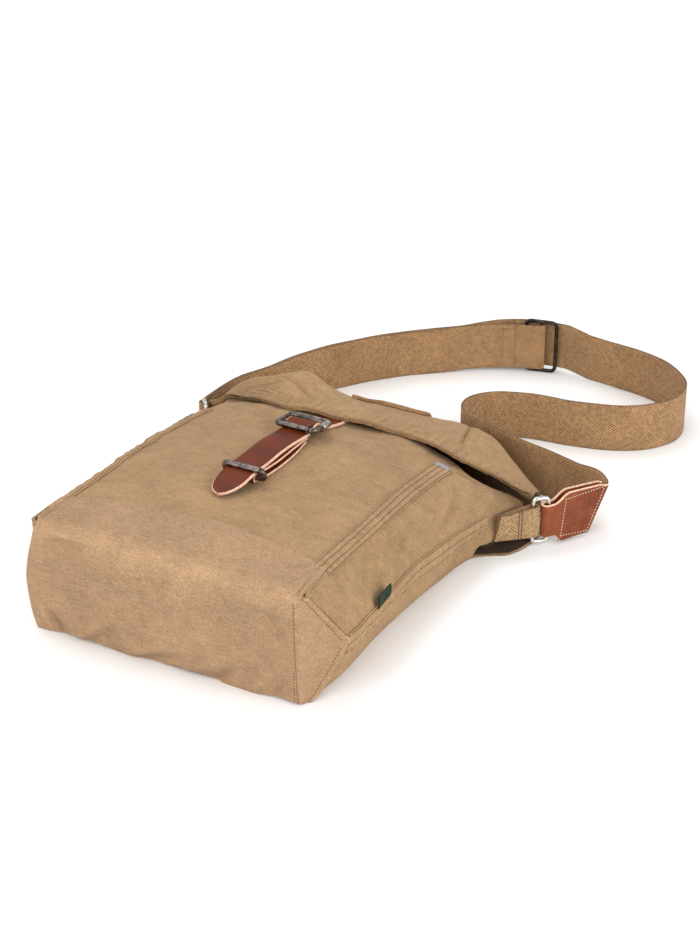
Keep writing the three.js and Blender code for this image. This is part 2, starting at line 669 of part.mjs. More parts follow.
// The holder: a thinner strap that lies on the canvas, turns round the keeper's lower bar and comes
// back over itself towards the buckle.
function closureHolder() {
  const half = CLOSURE_WIDTH / 2 - 0.6;
  const keeperZ = frontHeight(KEEPER_Y) + KEEPER_LOW;
  const stations = [];
  const put = (y, z) => stations.push({ at: point(CLOSURE_X, y, z), across: ACROSS, half });
  const lay = (y, lift) => put(y, frontHeight(y) + lift);
  const low = PIECE_GAP + HOLDER_THICK / 2;
  const endY = BUCKLE_Y - BUCKLE_LENGTH / 2 - 4;
  lay(endY, low);
  lay(mix(endY, KEEPER_Y, 0.35), low);
  lay(mix(endY, KEEPER_Y, 0.7), low);
  lay(KEEPER_Y + 4, low);
  for (const turnDeg of [-90, -130, -180, -230, -270]) {
    const turn = (turnDeg * Math.PI) / 180;
    put(KEEPER_Y + HOLDER_TURN * Math.cos(turn), keeperZ + HOLDER_TURN * Math.sin(turn));
  }
  lay(KEEPER_Y + 8, KEEPER_LOW + HOLDER_TURN - 0.4);
  lay(mix(endY, KEEPER_Y, 0.6), low + HOLDER_THICK + 1.4);
  lay(endY + 2, low + HOLDER_THICK + PIECE_GAP);
  return band(stations, HOLDER_THICK);
}

function keeper() {
  const low = frontHeight(KEEPER_Y) + KEEPER_LOW;
  const middle = point(CLOSURE_X, KEEPER_Y, low + KEEPER_RISE / 2);
  return wireLoop(middle, ACROSS, UP, KEEPER_SPAN, KEEPER_RISE, KEEPER_RISE / 2 - 0.2, KEEPER_WIRE);
}

function buckleMiddle() {
  return point(CLOSURE_X, BUCKLE_Y, frontHeight(BUCKLE_Y) + BUCKLE_LIFT);
}

// The buckle lies along the slope of the front.
function buckleLengthways() {
  const end = BUCKLE_LENGTH / 2;
  const rise = frontHeight(BUCKLE_Y + end) - frontHeight(BUCKLE_Y - end);
  return point(0, BUCKLE_LENGTH, rise).normalize();
}

function buckleFrame() {
  return wireLoop(buckleMiddle(), ACROSS, buckleLengthways(), BUCKLE_SPAN, BUCKLE_LENGTH, 4, BUCKLE_WIRE);
}

function buckleBar() {
  const reach = BUCKLE_SPAN / 2 + BUCKLE_WIRE / 2;
  const height = frontHeight(BUCKLE_Y) + BUCKLE_BAR_LIFT;
  const end = (sign) => point(CLOSURE_X + sign * reach, BUCKLE_Y, height);
  return bar(end(-1), end(1), BUCKLE_BAR);
}

// A place beside the bag at the rings' height, so far before the mouth and out of the side seam.
function besideSeam(side, { beforeMouth, out }) {
  const y = BODY_LENGTH - beforeMouth;
  const seam = skinPoint(side > 0 ? SEAM_RIGHT : SEAM_LEFT, Math.min(y, BODY_LENGTH), 0);
  return point(seam.x + side * out, y, RING_HEIGHT);
}

function ringPlace(ring) {
  const turn = (ring.turnDeg * Math.PI) / 180;
  const outwards = point(Math.cos(turn), Math.sin(turn), 0);
  const middle = besideSeam(ring.side, ring);
  const end = (sign) => middle.clone().addScaledVector(outwards, (sign * RING_SPREAD) / 2);
  return { outwards, middle, inner: end(-1), outer: end(1) };
}

function strapRing(ring) {
  const { outwards, middle } = ringPlace(ring);
  const height = RING_INSIDE + RING_WIRE;
  return wireLoop(middle, UP, outwards, height, RING_SPREAD, 3, RING_WIRE);
}

// A band that comes in on one side of an upright bar, turns round it and goes back on the other
// side. The two runs close up towards the far end, where the band has another half width and tilt.
function loopRound({ centre, away, length, radius, closing, halves, tilt, thick }) {
  const side = point(-away.y, away.x, 0);
  const runSteps = 4;
  const turnSteps = 5;
  const upright = UP.clone();
  const station = (share, sign) => ({
    at: centre
      .clone()
      .addScaledVector(away, length * share)
      .addScaledVector(side, sign * mix(radius, closing, share)),
    across: upright.clone().lerp(tilt, share),
    half: mix(halves[0], halves[1], share),
  });
  const into = steps(1, 1 / runSteps, runSteps - 1).map((share) => station(share, -1));
  const turned = steps(0, Math.PI, turnSteps).map((turn) => ({
    at: centre
      .clone()
      .addScaledVector(side, -radius * Math.cos(turn))
      .addScaledVector(away, -radius * Math.sin(turn)),
    across: upright,
    half: halves[0],
  }));
  const back = steps(1 / runSteps, 1, runSteps - 1).map((share) => station(share, 1));
  return band([...into, ...turned, ...back], thick);
}

// The webbing tab that holds a ring to the side seam.
function ringTab(ring, sewn) {
  const { inner } = ringPlace(ring);
  const away = besideSeam(ring.side, sewn).sub(inner);
  return loopRound({
    centre: inner,
    away: away.clone().normalize(),
    length: away.length(),
    radius: RING_WIRE / 2 + PIECE_GAP + WEBBING_THICK / 2,
    closing: (WEBBING_THICK + PIECE_GAP) / 2,
    halves: [TAB_WIDTH / 2, TAB_WIDTH / 2 - 3],
    tilt: point(-ring.side * sewn.lean, 0, 1),
    thick: WEBBING_THICK,
  });
}

const LEATHER_TURN = 0.26; // radians that the leather tab turns from the ring's own direction
const LEATHER_LEAN = 0.3; // its end leans away from the ring by this share of its height

function leatherAway() {
  return ringPlace(RING_RIGHT).outwards.clone().applyAxisAngle(UP, LEATHER_TURN);
}

function leatherTab() {
  const away = leatherAway();
  return loopRound({
    centre: ringPlace(RING_RIGHT).outer,
    away,
    length: LEATHER_TAB_LENGTH,
    radius: RING_WIRE / 2 + PIECE_GAP + LEATHER_THICK / 2,
    closing: WEBBING_THICK / 2 + 2 * PIECE_GAP + LEATHER_THICK / 2,
    halves: [LEATHER_TAB_NECK / 2, LEATHER_TAB_WIDTH / 2],
    tilt: UP.clone().addScaledVector(away, LEATHER_LEAN),
    thick: LEATHER_THICK,
  });
}

// The middle line that the strap follows over the floor, and how far along it the slider sits.
function strapLine() {
  const away = leatherAway();
  const tab = ringPlace(RING_RIGHT).outer;
  const onTab = (length) => tab.clone().addScaledVector(away, length);
  const rowPoint = ({ across, along }) => point(across * MOUTH_HALF, along * BODY_LENGTH, 0);
  const chosen = [
    ringPlace(RING_LEFT).outer,
    ...STRAP_ROUTE.map(rowPoint),
    onTab(LEATHER_TAB_LENGTH + 6),
    onTab(LEATHER_TAB_LENGTH),
    onTab(LEATHER_TAB_LENGTH * (1 - TAB_GRIP)),
  ].map((at) => point(at.x, at.y, 0));
  const curve = new THREE.CatmullRomCurve3(chosen, false, "centripetal");
  curve.arcLengthDivisions = 600;
  const sliderRow = STRAP_ROUTE.findIndex((row) => row.slider) + 1;
  const lengths = curve.getLengths();
  const total = lengths[lengths.length - 1];
  const sliderAt = lengths[Math.round((sliderRow / (chosen.length - 1)) * 600)];
  return { curve, total, sliderAt };
}

// A straight-line reading of a short list of [place, value] pairs.
function readPairs(pairs, place) {
  const next = pairs.findIndex(([at]) => at > place);
  if (next < 0) return pairs[pairs.length - 1][1];
  if (next === 0) return pairs[0][1];
  const [a, from] = pairs[next - 1];
  const [b, to] = pairs[next];
  return mix(from, to, (place - a) / (b - a));
}

const GATHER_LENGTH = 26; // over which the webbing is gathered to go through the left ring
const LAYER_APART = (WEBBING_THICK + PIECE_GAP) / 2;
const ROUND_RING = RING_WIRE / 2 + PIECE_GAP + WEBBING_THICK / 2;
const ROUND_SLIDER_BAR = SLIDER_BAR / 2 + PIECE_GAP + WEBBING_THICK / 2;
const BESIDE_SLIDER = SLIDER_WIRE / 2 + 4 * PIECE_GAP + WEBBING_THICK / 2;
const BEHIND_SLIDER = BESIDE_SLIDER + WEBBING_THICK + PIECE_GAP;
const SLIDER_LIFT = SLIDER_WIRE + SLIDER_SLACK / 2; // the webbing rides over the slider's lower bar

// Places along the strap, in millimetres before and after the slider: where it starts and ends to
// lift off the floor, where it is level, and where its layers part to pass the slider's frame.
const LIFT_STARTS = 90;
const LEVEL_BEFORE = 24;
const LEVEL_AFTER = 20;
const LIFT_ENDS = 70;
const FRONT_PARTS = 44;
const FRONT_BESIDE = 22;
const FRONT_TURNS_IN = 6;
const BACK_PARTS = 60;
const BACK_BESIDE = 34;
const BACK_ALONE = 40;
const TAB_GRIP = 0.58; // the share of the leather tab that holds the strap's end
const LEAN_STARTS = 12; // before the tab's grip

// The shoulder strap is one length of webbing. It is sewn round the slider's middle bar, runs in
// front to the left ring, turns round the ring, runs back behind itself and past the slider, and
// goes on round the loop into the leather tab.
function shoulderStrap() {
  const { curve, total, sliderAt } = strapLine();
  const station = (length, offset) => {
    const u = length / total;
    const at = curve.getPointAt(u);
    const tangent = curve.getTangentAt(u);
    const gathered = Math.min(length / GATHER_LENGTH, 1);
    const half = mix(TAB_WIDTH / 2 + 0.5, WEBBING_WIDTH / 2, gathered);
    at.addScaledVector(point(tangent.y, -tangent.x, 0), offset);
    const lifted = readPairs(
      [
        [sliderAt - LIFT_STARTS, 0],
        [sliderAt - LEVEL_BEFORE, SLIDER_LIFT],
        [sliderAt + LEVEL_AFTER, SLIDER_LIFT],
        [sliderAt + LIFT_ENDS, 0],
      ],
      length,
    );
    at.z = mix(RING_HEIGHT, WEBBING_WIDTH / 2, gathered) + lifted;
    const leaning = readPairs(
      [
        [total - LEATHER_TAB_LENGTH * TAB_GRIP - LEAN_STARTS, 0],
        [total - LEATHER_TAB_LENGTH * TAB_GRIP, LEATHER_LEAN],
      ],
      length,
    );
    return { at, across: UP.clone().addScaledVector(tangent, -leaning), half };
  };
  const frontOffset = (length) =>
    readPairs(
      [
        [0, ROUND_RING],
        [GATHER_LENGTH, LAYER_APART],
        [sliderAt - FRONT_PARTS, LAYER_APART],
        [sliderAt - FRONT_BESIDE, BESIDE_SLIDER],
        [sliderAt - FRONT_TURNS_IN, BESIDE_SLIDER],
        [sliderAt, ROUND_SLIDER_BAR],
      ],
      length,
    );
  const backOffset = (length) =>
    readPairs(
      [
        [0, ROUND_RING],
        [GATHER_LENGTH, LAYER_APART],
        [sliderAt - BACK_PARTS, LAYER_APART],
        [sliderAt - BACK_BESIDE, BEHIND_SLIDER],
        [sliderAt + LEVEL_AFTER, BEHIND_SLIDER],
        [sliderAt + BACK_ALONE, 0],
      ],
      length,
    );
  const sewnEnd = [20, 14, 6, 3].map((back) =>
    station(sliderAt - back, -readPairs([[3, ROUND_SLIDER_BAR], [6, BESIDE_SLIDER]], back)),
  );
  const turnAt = (length, radius, from, to) => {
    const centre = station(length, 0);
    const tangent = curve.getTangentAt(length / total);
    const side = point(tangent.y, -tangent.x, 0);
    return steps(from, to, 5).map((turn) => ({
      ...centre,
      at: centre.at
        .clone()
        .addScaledVector(tangent, radius * Math.cos(turn))
        .addScaledVector(side, radius * Math.sin(turn)),
    }));
  };
  const quarter = Math.PI / 2;
  const front = steps(sliderAt - 3, 4, 34).map((length) => station(length, frontOffset(length)));
  const behind = steps(4, total, 118).map((length) => station(length, -backOffset(length)));
  return band(
    [
      ...sewnEnd,
      ...turnAt(sliderAt, ROUND_SLIDER_BAR, -quarter, quarter),
      ...front,
      ...turnAt(0, ROUND_RING, quarter, 3 * quarter),
      ...behind,
    ],
    WEBBING_THICK,
  );
}

function sliderPlace() {
  const { curve, total, sliderAt } = strapLine();
  const middle = curve.getPointAt(sliderAt / total);
  middle.z = SLIDER_LIFT + WEBBING_WIDTH / 2;
  return { middle, lengthways: curve.getTangentAt(sliderAt / total) };
}

function sliderFrame() {
  const { middle, lengthways } = sliderPlace();
  const height = WEBBING_WIDTH + SLIDER_SLACK + SLIDER_WIRE;
  return wireLoop(middle, UP, lengthways, height, SLIDER_LENGTH, 4, SLIDER_WIRE);
}

function sliderBar() {
  const { middle } = sliderPlace();
  const reach = (WEBBING_WIDTH + SLIDER_SLACK) / 2 - PIECE_GAP;
  return bar(middle.clone().add(point(0, 0, -reach)), middle.clone().add(point(0, 0, reach)), SLIDER_BAR);
}

const FRONT_SEAM_Y = [BASE_STRIP + 1, BODY_LENGTH - FRONT_SEAM_ENDS];
const SIDE_SEAM_START = BASE_CORNER_REACH + 4;
const SIDE_RIGHT_Y = [SIDE_SEAM_START, SIDE_SEAM_RIGHT_ENDS * BODY_LENGTH];
const SIDE_LEFT_Y = [SIDE_SEAM_START, SIDE_SEAM_LEFT_ENDS * BODY_LENGTH];

const pieces = [
  ["base_panel", BASE_CANVAS, basePanel()],
  ["front_panel", CANVAS, canvasPanel(0, FRONT_RIGHT, BODY_LENGTH)],
  ["side_panel_right", CANVAS, canvasPanel(FRONT_RIGHT, SEAM_RIGHT, BODY_LENGTH)],
  ["side_panel_left", CANVAS, canvasPanel(SEAM_LEFT, ALL_COLUMNS, BODY_LENGTH)],
  ["back_panel", CANVAS, canvasPanel(SEAM_RIGHT, SEAM_LEFT, BODY_LENGTH)],
  ["folded_top", CANVAS, foldedTop()],
  ["folded_top_hem", CANVAS, foldHem()],
  ["front_seam_right", CANVAS, seamBand(FRONT_RIGHT, 0.55, 0.35, FRONT_SEAM_Y)],
  ["front_seam_left", CANVAS, seamBand(ALL_COLUMNS, 0.35, 0.55, FRONT_SEAM_Y)],
  ["side_seam_right", CANVAS, seamBand(SEAM_RIGHT, 0.3, 0.8, SIDE_RIGHT_Y)],
  ["side_seam_left", CANVAS, seamBand(SEAM_LEFT, 0.8, 0.3, SIDE_LEFT_Y)],
  ["hang_loop", WEBBING, hangLoop()],
  ["side_label", LABEL_CLOTH, sideLabel()],
  ["closure_strap", LEATHER, closureStrap()],
  ["closure_holder", LEATHER, closureHolder()],
  ["closure_keeper", DARK_METAL, keeper()],
  ["buckle_frame", DARK_METAL, buckleFrame()],
  ["buckle_bar", DARK_METAL, buckleBar()],
  ["ring_right", SILVER, strapRing(RING_RIGHT)],
  ["ring_left", SILVER, strapRing(RING_LEFT)],
  ["ring_tab_right", WEBBING, ringTab(RING_RIGHT, TAB_RIGHT_ROOT)],
  ["ring_tab_left", WEBBING, ringTab(RING_LEFT, TAB_LEFT_ROOT)],
  ["leather_tab", LEATHER, leatherTab()],
  ["shoulder_strap", WEBBING, shoulderStrap()],
  ["slider_frame", DARK_METAL, sliderFrame()],
  ["slider_bar", DARK_METAL, sliderBar()],
];

const bag = new THREE.Group();
for (const [name, look, geometry] of pieces) {
  const mesh = new THREE.Mesh(geometry, new THREE.MeshStandardMaterial(look));
  mesh.name = name;
  bag.add(mesh);
}

bag.position.y = -ORIGIN_FROM_BASE;

export default bag;
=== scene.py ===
import math

import bpy
import numpy as np
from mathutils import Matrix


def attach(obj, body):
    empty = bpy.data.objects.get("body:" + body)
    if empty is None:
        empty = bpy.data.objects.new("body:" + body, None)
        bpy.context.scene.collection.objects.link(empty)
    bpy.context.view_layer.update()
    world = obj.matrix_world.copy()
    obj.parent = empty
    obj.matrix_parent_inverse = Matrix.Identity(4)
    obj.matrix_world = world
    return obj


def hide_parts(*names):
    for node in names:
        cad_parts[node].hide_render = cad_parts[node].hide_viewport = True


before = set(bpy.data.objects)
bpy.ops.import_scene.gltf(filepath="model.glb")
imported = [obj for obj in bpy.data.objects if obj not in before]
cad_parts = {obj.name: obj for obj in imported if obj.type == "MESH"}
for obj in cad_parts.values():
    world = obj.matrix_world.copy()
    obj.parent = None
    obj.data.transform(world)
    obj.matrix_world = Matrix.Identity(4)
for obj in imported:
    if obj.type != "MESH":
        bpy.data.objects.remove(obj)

bl_info = {
    "name": "Canvas Shoulder Bag",
    "version": (1, 0, 0),
    "blender": (4, 5, 0),
    "location": "3D View > Sidebar > Bag",
    "description": "Dresses the model of a canvas shoulder bag in cloth, leather, webbing and metal",
    "category": "Add Mesh",
}

# Driving sizes, in millimetres
BODY_LENGTH = 252
BASE_HALF = 97
BODY_DEPTH = 80
ORIGIN_FROM_BASE = BODY_LENGTH / 2
CANVAS_WALL = 2
PIECE_GAP = 0.3
BASE_BULGE = 6
BASE_STRIP = 38
BASE_STRIP_BOW = 12
BASE_CORNER_START = 7
BASE_CORNER_REACH = 27
SEAM_BAND_THICK = 1.1
FRONT_SEAM_ENDS = 24
MOUTH_HALF = 140
FOLD_PAST_MOUTH = 50
FOLD_REACH = BODY_LENGTH + FOLD_PAST_MOUTH
FOLD_WALL = 2
HEM_WALL = 3.2
HEM_SHARE = 0.88
WEBBING_WIDTH = 38
WEBBING_THICK = 1.8
TAB_WIDTH = 28
RING_HEIGHT = 21.5
RING_WIRE = 3
RING_INSIDE = 31
RING_SPREAD = 11
RING_RIGHT = {"side": 1, "before_mouth": 12, "out": 20.2, "turn": 40}
RING_LEFT = {"side": -1, "before_mouth": -4, "out": 9.9, "turn": 130}
TAB_RIGHT_ROOT = {"before_mouth": 36, "out": 4, "lean": -0.22, "bow": 0}
TAB_LEFT_ROOT = {"before_mouth": 22, "out": 3.2, "lean": 0, "bow": 6}
TAB_GATHERED = 24
LEATHER_THICK = 2
LEATHER_TAB_LENGTH = 37.5
LEATHER_TAB_PAST = 0.05
LEATHER_TAB_WIDTH = 38
LEATHER_TAB_NECK = 25
LEATHER_TURN = 0.26
LEATHER_LEAN = 0.42
SLIDER_SLACK = 1
SLIDER_LENGTH = 24
SLIDER_WIRE = 3
SLIDER_BAR = 2.4
CLOSURE_X = -5
CLOSURE_WIDTH = 22
CLOSURE_THICK = 2.6
BUCKLE_Y = BODY_LENGTH - 55
KEEPER_Y = BUCKLE_Y - 90
TONGUE_TIP_Y = KEEPER_Y - 26
KEEPER_WIRE = 2.8
KEEPER_SPAN = 31
KEEPER_RISE = 9.4
BUCKLE_LENGTH = 24
BUCKLE_SPAN = 30
BUCKLE_WIRE = 3.2
BUCKLE_BAR = 2
HOLDER_THICK = 1.8
LABEL_ALONG = 0.28
LABEL_LENGTH = 24
LABEL_STANDS = 9
HANG_LOOP_LENGTH = 56
HANG_LOOP_THICK = 1.8
HANG_LOOP_FROM = -0.12
HANG_LOOP_PROFILE = (0.5, 0.62)

UP = np.array([0.0, 0.0, 1.0])
ACROSS = np.array([1.0, 0.0, 0.0])


def table(names, *rows):
    """Rows of numbers under named columns."""
    return {name: np.array([row[i] for row in rows], float) for i, name in enumerate(names)}


# Sections of the body from base to mouth: shares of BODY_LENGTH, BASE_HALF and BODY_DEPTH
BODY_SECTIONS = table(
    ("along", "front", "edge", "crown", "seam", "seam_up", "floor", "shift"),
    (0.0, 0.97, 0.95, 0.965, 1.01, 0.47, 1.0, 0),
    (0.03, 1.0, 1.0, 1.02, 1.06, 0.48, 1.015, 0),
    (0.11, 0.99, 0.99, 1.04, 1.2, 0.5, 1.03, 0),
    (0.2, 0.98, 0.965, 1.04, 1.21, 0.5, 1.06, 0),
    (0.34, 0.98, 0.93, 1.03, 1.2, 0.5, 1.07, 0),
    (0.5, 0.98, 0.88, 0.995, 1.21, 0.48, 1.1, -0.01),
    (0.67, 0.97, 0.79, 0.93, 1.25, 0.43, 1.16, -0.03),
    (0.82, 0.97, 0.7, 0.85, 1.31, 0.38, 1.25, -0.05),
    (0.87, 0.97, 0.66, 0.81, 1.34, 0.36, 1.45, -0.055),
    (0.92, 0.97, 0.61, 0.76, 1.37, 0.34, 1.52, -0.06),
    (1.0, 0.97, 0.53, 0.69, 1.42, 0.31, 1.55, -0.06),
)
LEFT_SECTIONS = table(
    ("along", "seam", "floor"),
    (0.0, 1.07, 1.0),
    (0.03, 1.09, 1.02),
    (0.11, 1.08, 1.01),
    (0.2, 1.07, 1.01),
    (0.34, 1.07, 1.01),
    (0.5, 1.08, 1.03),
    (0.67, 1.09, 1.05),
    (0.82, 1.11, 1.07),
    (0.87, 1.12, 1.07),
    (0.92, 1.12, 1.08),
    (1.0, 1.12, 1.08),
)
# Sections across the folded top: shares of MOUTH_HALF, FOLD_REACH and BODY_DEPTH
FOLD_SECTIONS = table(
    ("across", "hem", "hem_up", "crest", "crest_up"),
    (-0.82, 0.875, 0.48, 0.93, 0.42),
    (-0.7, 0.855, 0.66, 0.97, 0.62),
    (-0.5, 0.81, 0.79, 0.99, 0.78),
    (-0.35, 0.79, 0.83, 1.0, 0.87),
    (-0.24, 0.785, 0.84, 1.01, 0.72),
    (-0.1, 0.78, 0.85, 1.02, 0.63),
    (0.1, 0.79, 0.83, 1.03, 0.6),
    (0.3, 0.805, 0.78, 1.035, 0.58),
    (0.5, 0.805, 0.71, 1.035, 0.58),
    (0.66, 0.795, 0.63, 1.015, 0.56),
    (0.82, 0.8, 0.53, 0.965, 0.46),
    (1.02, 0.825, 0.4, 0.9, 0.35),
)
# The strap's way over the floor: shares of MOUTH_HALF and BODY_LENGTH
STRAP_ROUTE = table(
    ("across", "along"),
    (-0.83, 1.19),
    (-0.74, 1.3),
    (-0.65, 1.42),
    (-0.5, 1.55),
    (-0.28, 1.685),
    (0.0, 1.8),
    (0.2, 1.868),
    (0.385, 1.905),
    (0.56, 1.912),
    (0.76, 1.91),
    (0.98, 1.9),
    (1.18, 1.855),
    (1.32, 1.77),
    (1.335, 1.68),
    (1.26, 1.605),
    (1.1, 1.545),
    (0.86, 1.51),
    (0.63, 1.495),
    (0.46, 1.46),
    (0.36, 1.4),
    (0.37, 1.335),
    (0.48, 1.286),
    (0.66, 1.252),
    (0.82, 1.228),
    (0.98, 1.205),
    (1.13, 1.179),
    (1.24, 1.155),
)
SLIDER_ROW = 7  # the slider sits on this row of the route

# Creases of the body's canvas: from and to as millimetres round the bag and along it, half width
# and height. Round the bag counts from the front's left edge: the front is 0 to 194, the right side
# to its seam 194 to 242.
CREASES = table(
    ("from_round", "from_along", "to_round", "to_along", "wide", "high"),
    (10, 252, 84, 246, 20, 3.2),
    (122, 254, 176, 246, 15, 2.2),
    (26, 240, 46, 206, 5, 1.2),
    (44, 232, 74, 214, 6, -1.1),
    (10, 214, 30, 176, 5, -0.9),
    (150, 228, 176, 206, 7, -1.0),
    (120, 92, 160, 60, 9, 0.8),
    (30, 66, 88, 58, 6, -0.9),
    (172, 118, 190, 84, 6, -0.9),
    (203, 214, 222, 170, 5, 1.9),
    (212, 208, 230, 160, 4, -1.9),
    (200, 176, 218, 128, 5, 1.6),
    (206, 150, 226, 104, 5, -1.7),
    (200, 112, 224, 78, 4, 1.4),
    (202, 84, 230, 58, 4, -1.2),
    (222, 238, 236, 206, 5, 1.5),
    (250, 212, 264, 176, 5, -1.4),
    (252, 168, 268, 120, 6, 1.3),
    (250, 100, 262, 62, 5, -1.2),
)
# Creases of the base face: millimetres across and up
BASE_CREASES = table(
    ("from_x", "from_z", "to_x", "to_z", "wide", "high"),
    (-90, 68, -50, 74, 3.5, -2.4),
    (-70, 60, -20, 70, 6, 1.5),
    (-95, 26, -84, 3, 3, 2.6),
    (-90, 20, -76, 1, 2.6, -2.4),
    (-66, 2, -48, 18, 3.6, 2.2),
    (-56, 1, -34, 20, 4, -1.9),
    (-30, 1, -6, 17, 4, 2.0),
    (-18, 0, 14, 12, 4, -2.0),
    (16, 2, 44, 22, 4.5, 2.0),
    (34, 0, 54, 16, 3.4, -2.2),
    (62, 2, 78, 22, 4, 1.9),
    (78, 1, 88, 18, 3, -1.8),
    (72, 62, 90, 40, 4, -1.7),
    (56, 74, 88, 66, 4, 1.9),
    (-20, 58, 44, 66, 9, 1.3),
    (-60, 46, 30, 30, 12, -1.0),
)
# Creases of the folded top: shares across it and along its profile
FOLD_CREASES = table(
    ("from_across", "from_share", "to_across", "to_share", "wide", "high"),
    (-0.74, 0.8, -0.42, 0.66, 4, 2.4),
    (-0.72, 0.86, -0.4, 0.75, 3.2, -2.8),
    (-0.6, 0.93, -0.3, 0.84, 3.6, 2.2),
    (-0.42, 0.7, -0.2, 0.82, 3, -2.6),
    (-0.34, 0.6, -0.1, 0.76, 4, 2.0),
    (-0.26, 0.84, 0.02, 0.9, 3, -1.4),
    (0.52, 0.58, 0.6, 0.85, 1.5, -2.6),
    (0.565, 0.58, 0.645, 0.85, 2.6, 1.8),
    (0.1, 0.8, 0.46, 0.72, 6, 1.2),
    (0.3, 0.62, 0.5, 0.78, 5, -1.1),
    (0.7, 0.62, 0.92, 0.8, 6, -1.4),
    (0.76, 0.84, 0.96, 0.72, 4, 1.2),
    (0.2, 0.3, 0.26, 0.55, 6, 1.2),
    (-0.5, 0.3, -0.42, 0.55, 6, 1.4),
)


def mix(a, b, share):
    return a + (b - a) * share


def smooth(share):
    """A soft step from 0 to 1."""
    share = np.clip(share, 0, 1)
    return share * share * (3 - 2 * share)


def read_table(rows, key, place, column):
    """Smooth values from a table at places along its first column."""
    keys, values = rows[key], rows[column]
    place = np.asarray(place, float)
    last = len(keys) - 1
    row = np.clip(np.searchsorted(keys, place) - 1, 0, last - 1)
    before, after = np.maximum(row - 1, 0), np.minimum(row + 2, last)
    span = keys[row + 1] - keys[row]
    share = np.clip((place - keys[row]) / span, 0, 1)
    slope_from = (values[row + 1] - values[before]) / (keys[row + 1] - keys[before])
    slope_to = (values[after] - values[row]) / (keys[after] - keys[row])
    s2, s3 = share**2, share**3
    return (
        (2 * s3 - 3 * s2 + 1) * values[row]
        + (s3 - 2 * s2 + share) * span * slope_from
        + (3 * s2 - 2 * s3) * values[row + 1]
        + (s3 - s2) * span * slope_to
    )


def read_pairs(pairs, place):
    places, values = zip(*pairs)
    return np.interp(place, places, values)


# How strongly the canvas's bends turn into paler, worn ridges and painted shade in its grooves.
WEAR_AND_SHADE_GAIN = 2.5


def unit(vectors):
    return vectors / np.linalg.norm(vectors, axis=-1, keepdims=True)


def creases(rows, names, a, b):
    """Heights of a table's creases at places (a, b), soft across each and fading at its ends."""
    total = np.zeros(np.broadcast(a, b).shape)
    ends = [rows[name] for name in names]
    for a0, b0, a1, b1, wide, high in zip(*ends, rows["wide"], rows["high"]):
        run_a, run_b = a1 - a0, b1 - b0
        length = run_a**2 + run_b**2
        share = np.clip(((a - a0) * run_a + (b - b0) * run_b) / length, 0, 1)
        away = (a - a0 - share * run_a) ** 2 + (b - b0 - share * run_b) ** 2
        fade = np.sin(np.pi * mix(0.12, 0.88, share))
        total = total + high * fade * np.exp(-away / wide**2)
    return total


def ripple(a, b, seed, wave, high):
    """A gentle uneven surface with waves of about one length."""
    random = np.random.default_rng(seed)
    total = np.zeros(np.broadcast(a, b).shape)
    for _ in range(12):
        turn = random.uniform(0, math.tau)
        length = wave * random.uniform(0.7, 1.5)
        phase = random.uniform(0, math.tau)
        total = total + np.sin((a * math.cos(turn) + b * math.sin(turn)) * math.tau / length + phase)
    return high * total / math.sqrt(12)


# Round the body: columns run over the front from left to right, down the right side, back along the
# floor and up the left side
FRONT_COLUMNS = 12
SIDE_COLUMNS = 4
FLOOR_COLUMNS = 8
FRONT_RIGHT = FRONT_COLUMNS
SEAM_RIGHT = FRONT_RIGHT + SIDE_COLUMNS
FLOOR_RIGHT = SEAM_RIGHT + SIDE_COLUMNS
FLOOR_LEFT = FLOOR_RIGHT + FLOOR_COLUMNS
SEAM_LEFT = FLOOR_LEFT + SIDE_COLUMNS
ALL_COLUMNS = SEAM_LEFT + SIDE_COLUMNS
UPPER_LEAN = 0.7
LOWER_LEAN = 0.25
HOLLOW_DEPTH = 11
OPEN_SIDE_FROM = 203
LIP_LIFT = 1.1
# Millimetres round the bag at each corner column
ROUND_COLUMNS = (0, FRONT_RIGHT, SEAM_RIGHT, FLOOR_RIGHT, FLOOR_LEFT, SEAM_LEFT, ALL_COLUMNS)
ROUND_PLACES = (0, 194, 242, 286, 486, 530, 574)


def side_curve(from_x, from_z, to_x, to_z, share, lean, droop):
    control_x, control_z = mix(from_x, to_x, lean), mix(from_z, to_z, droop)
    a, b, c = (1 - share) ** 2, 2 * share * (1 - share), share**2
    return a * from_x + b * control_x + c * to_x, a * from_z + b * control_z + c * to_z


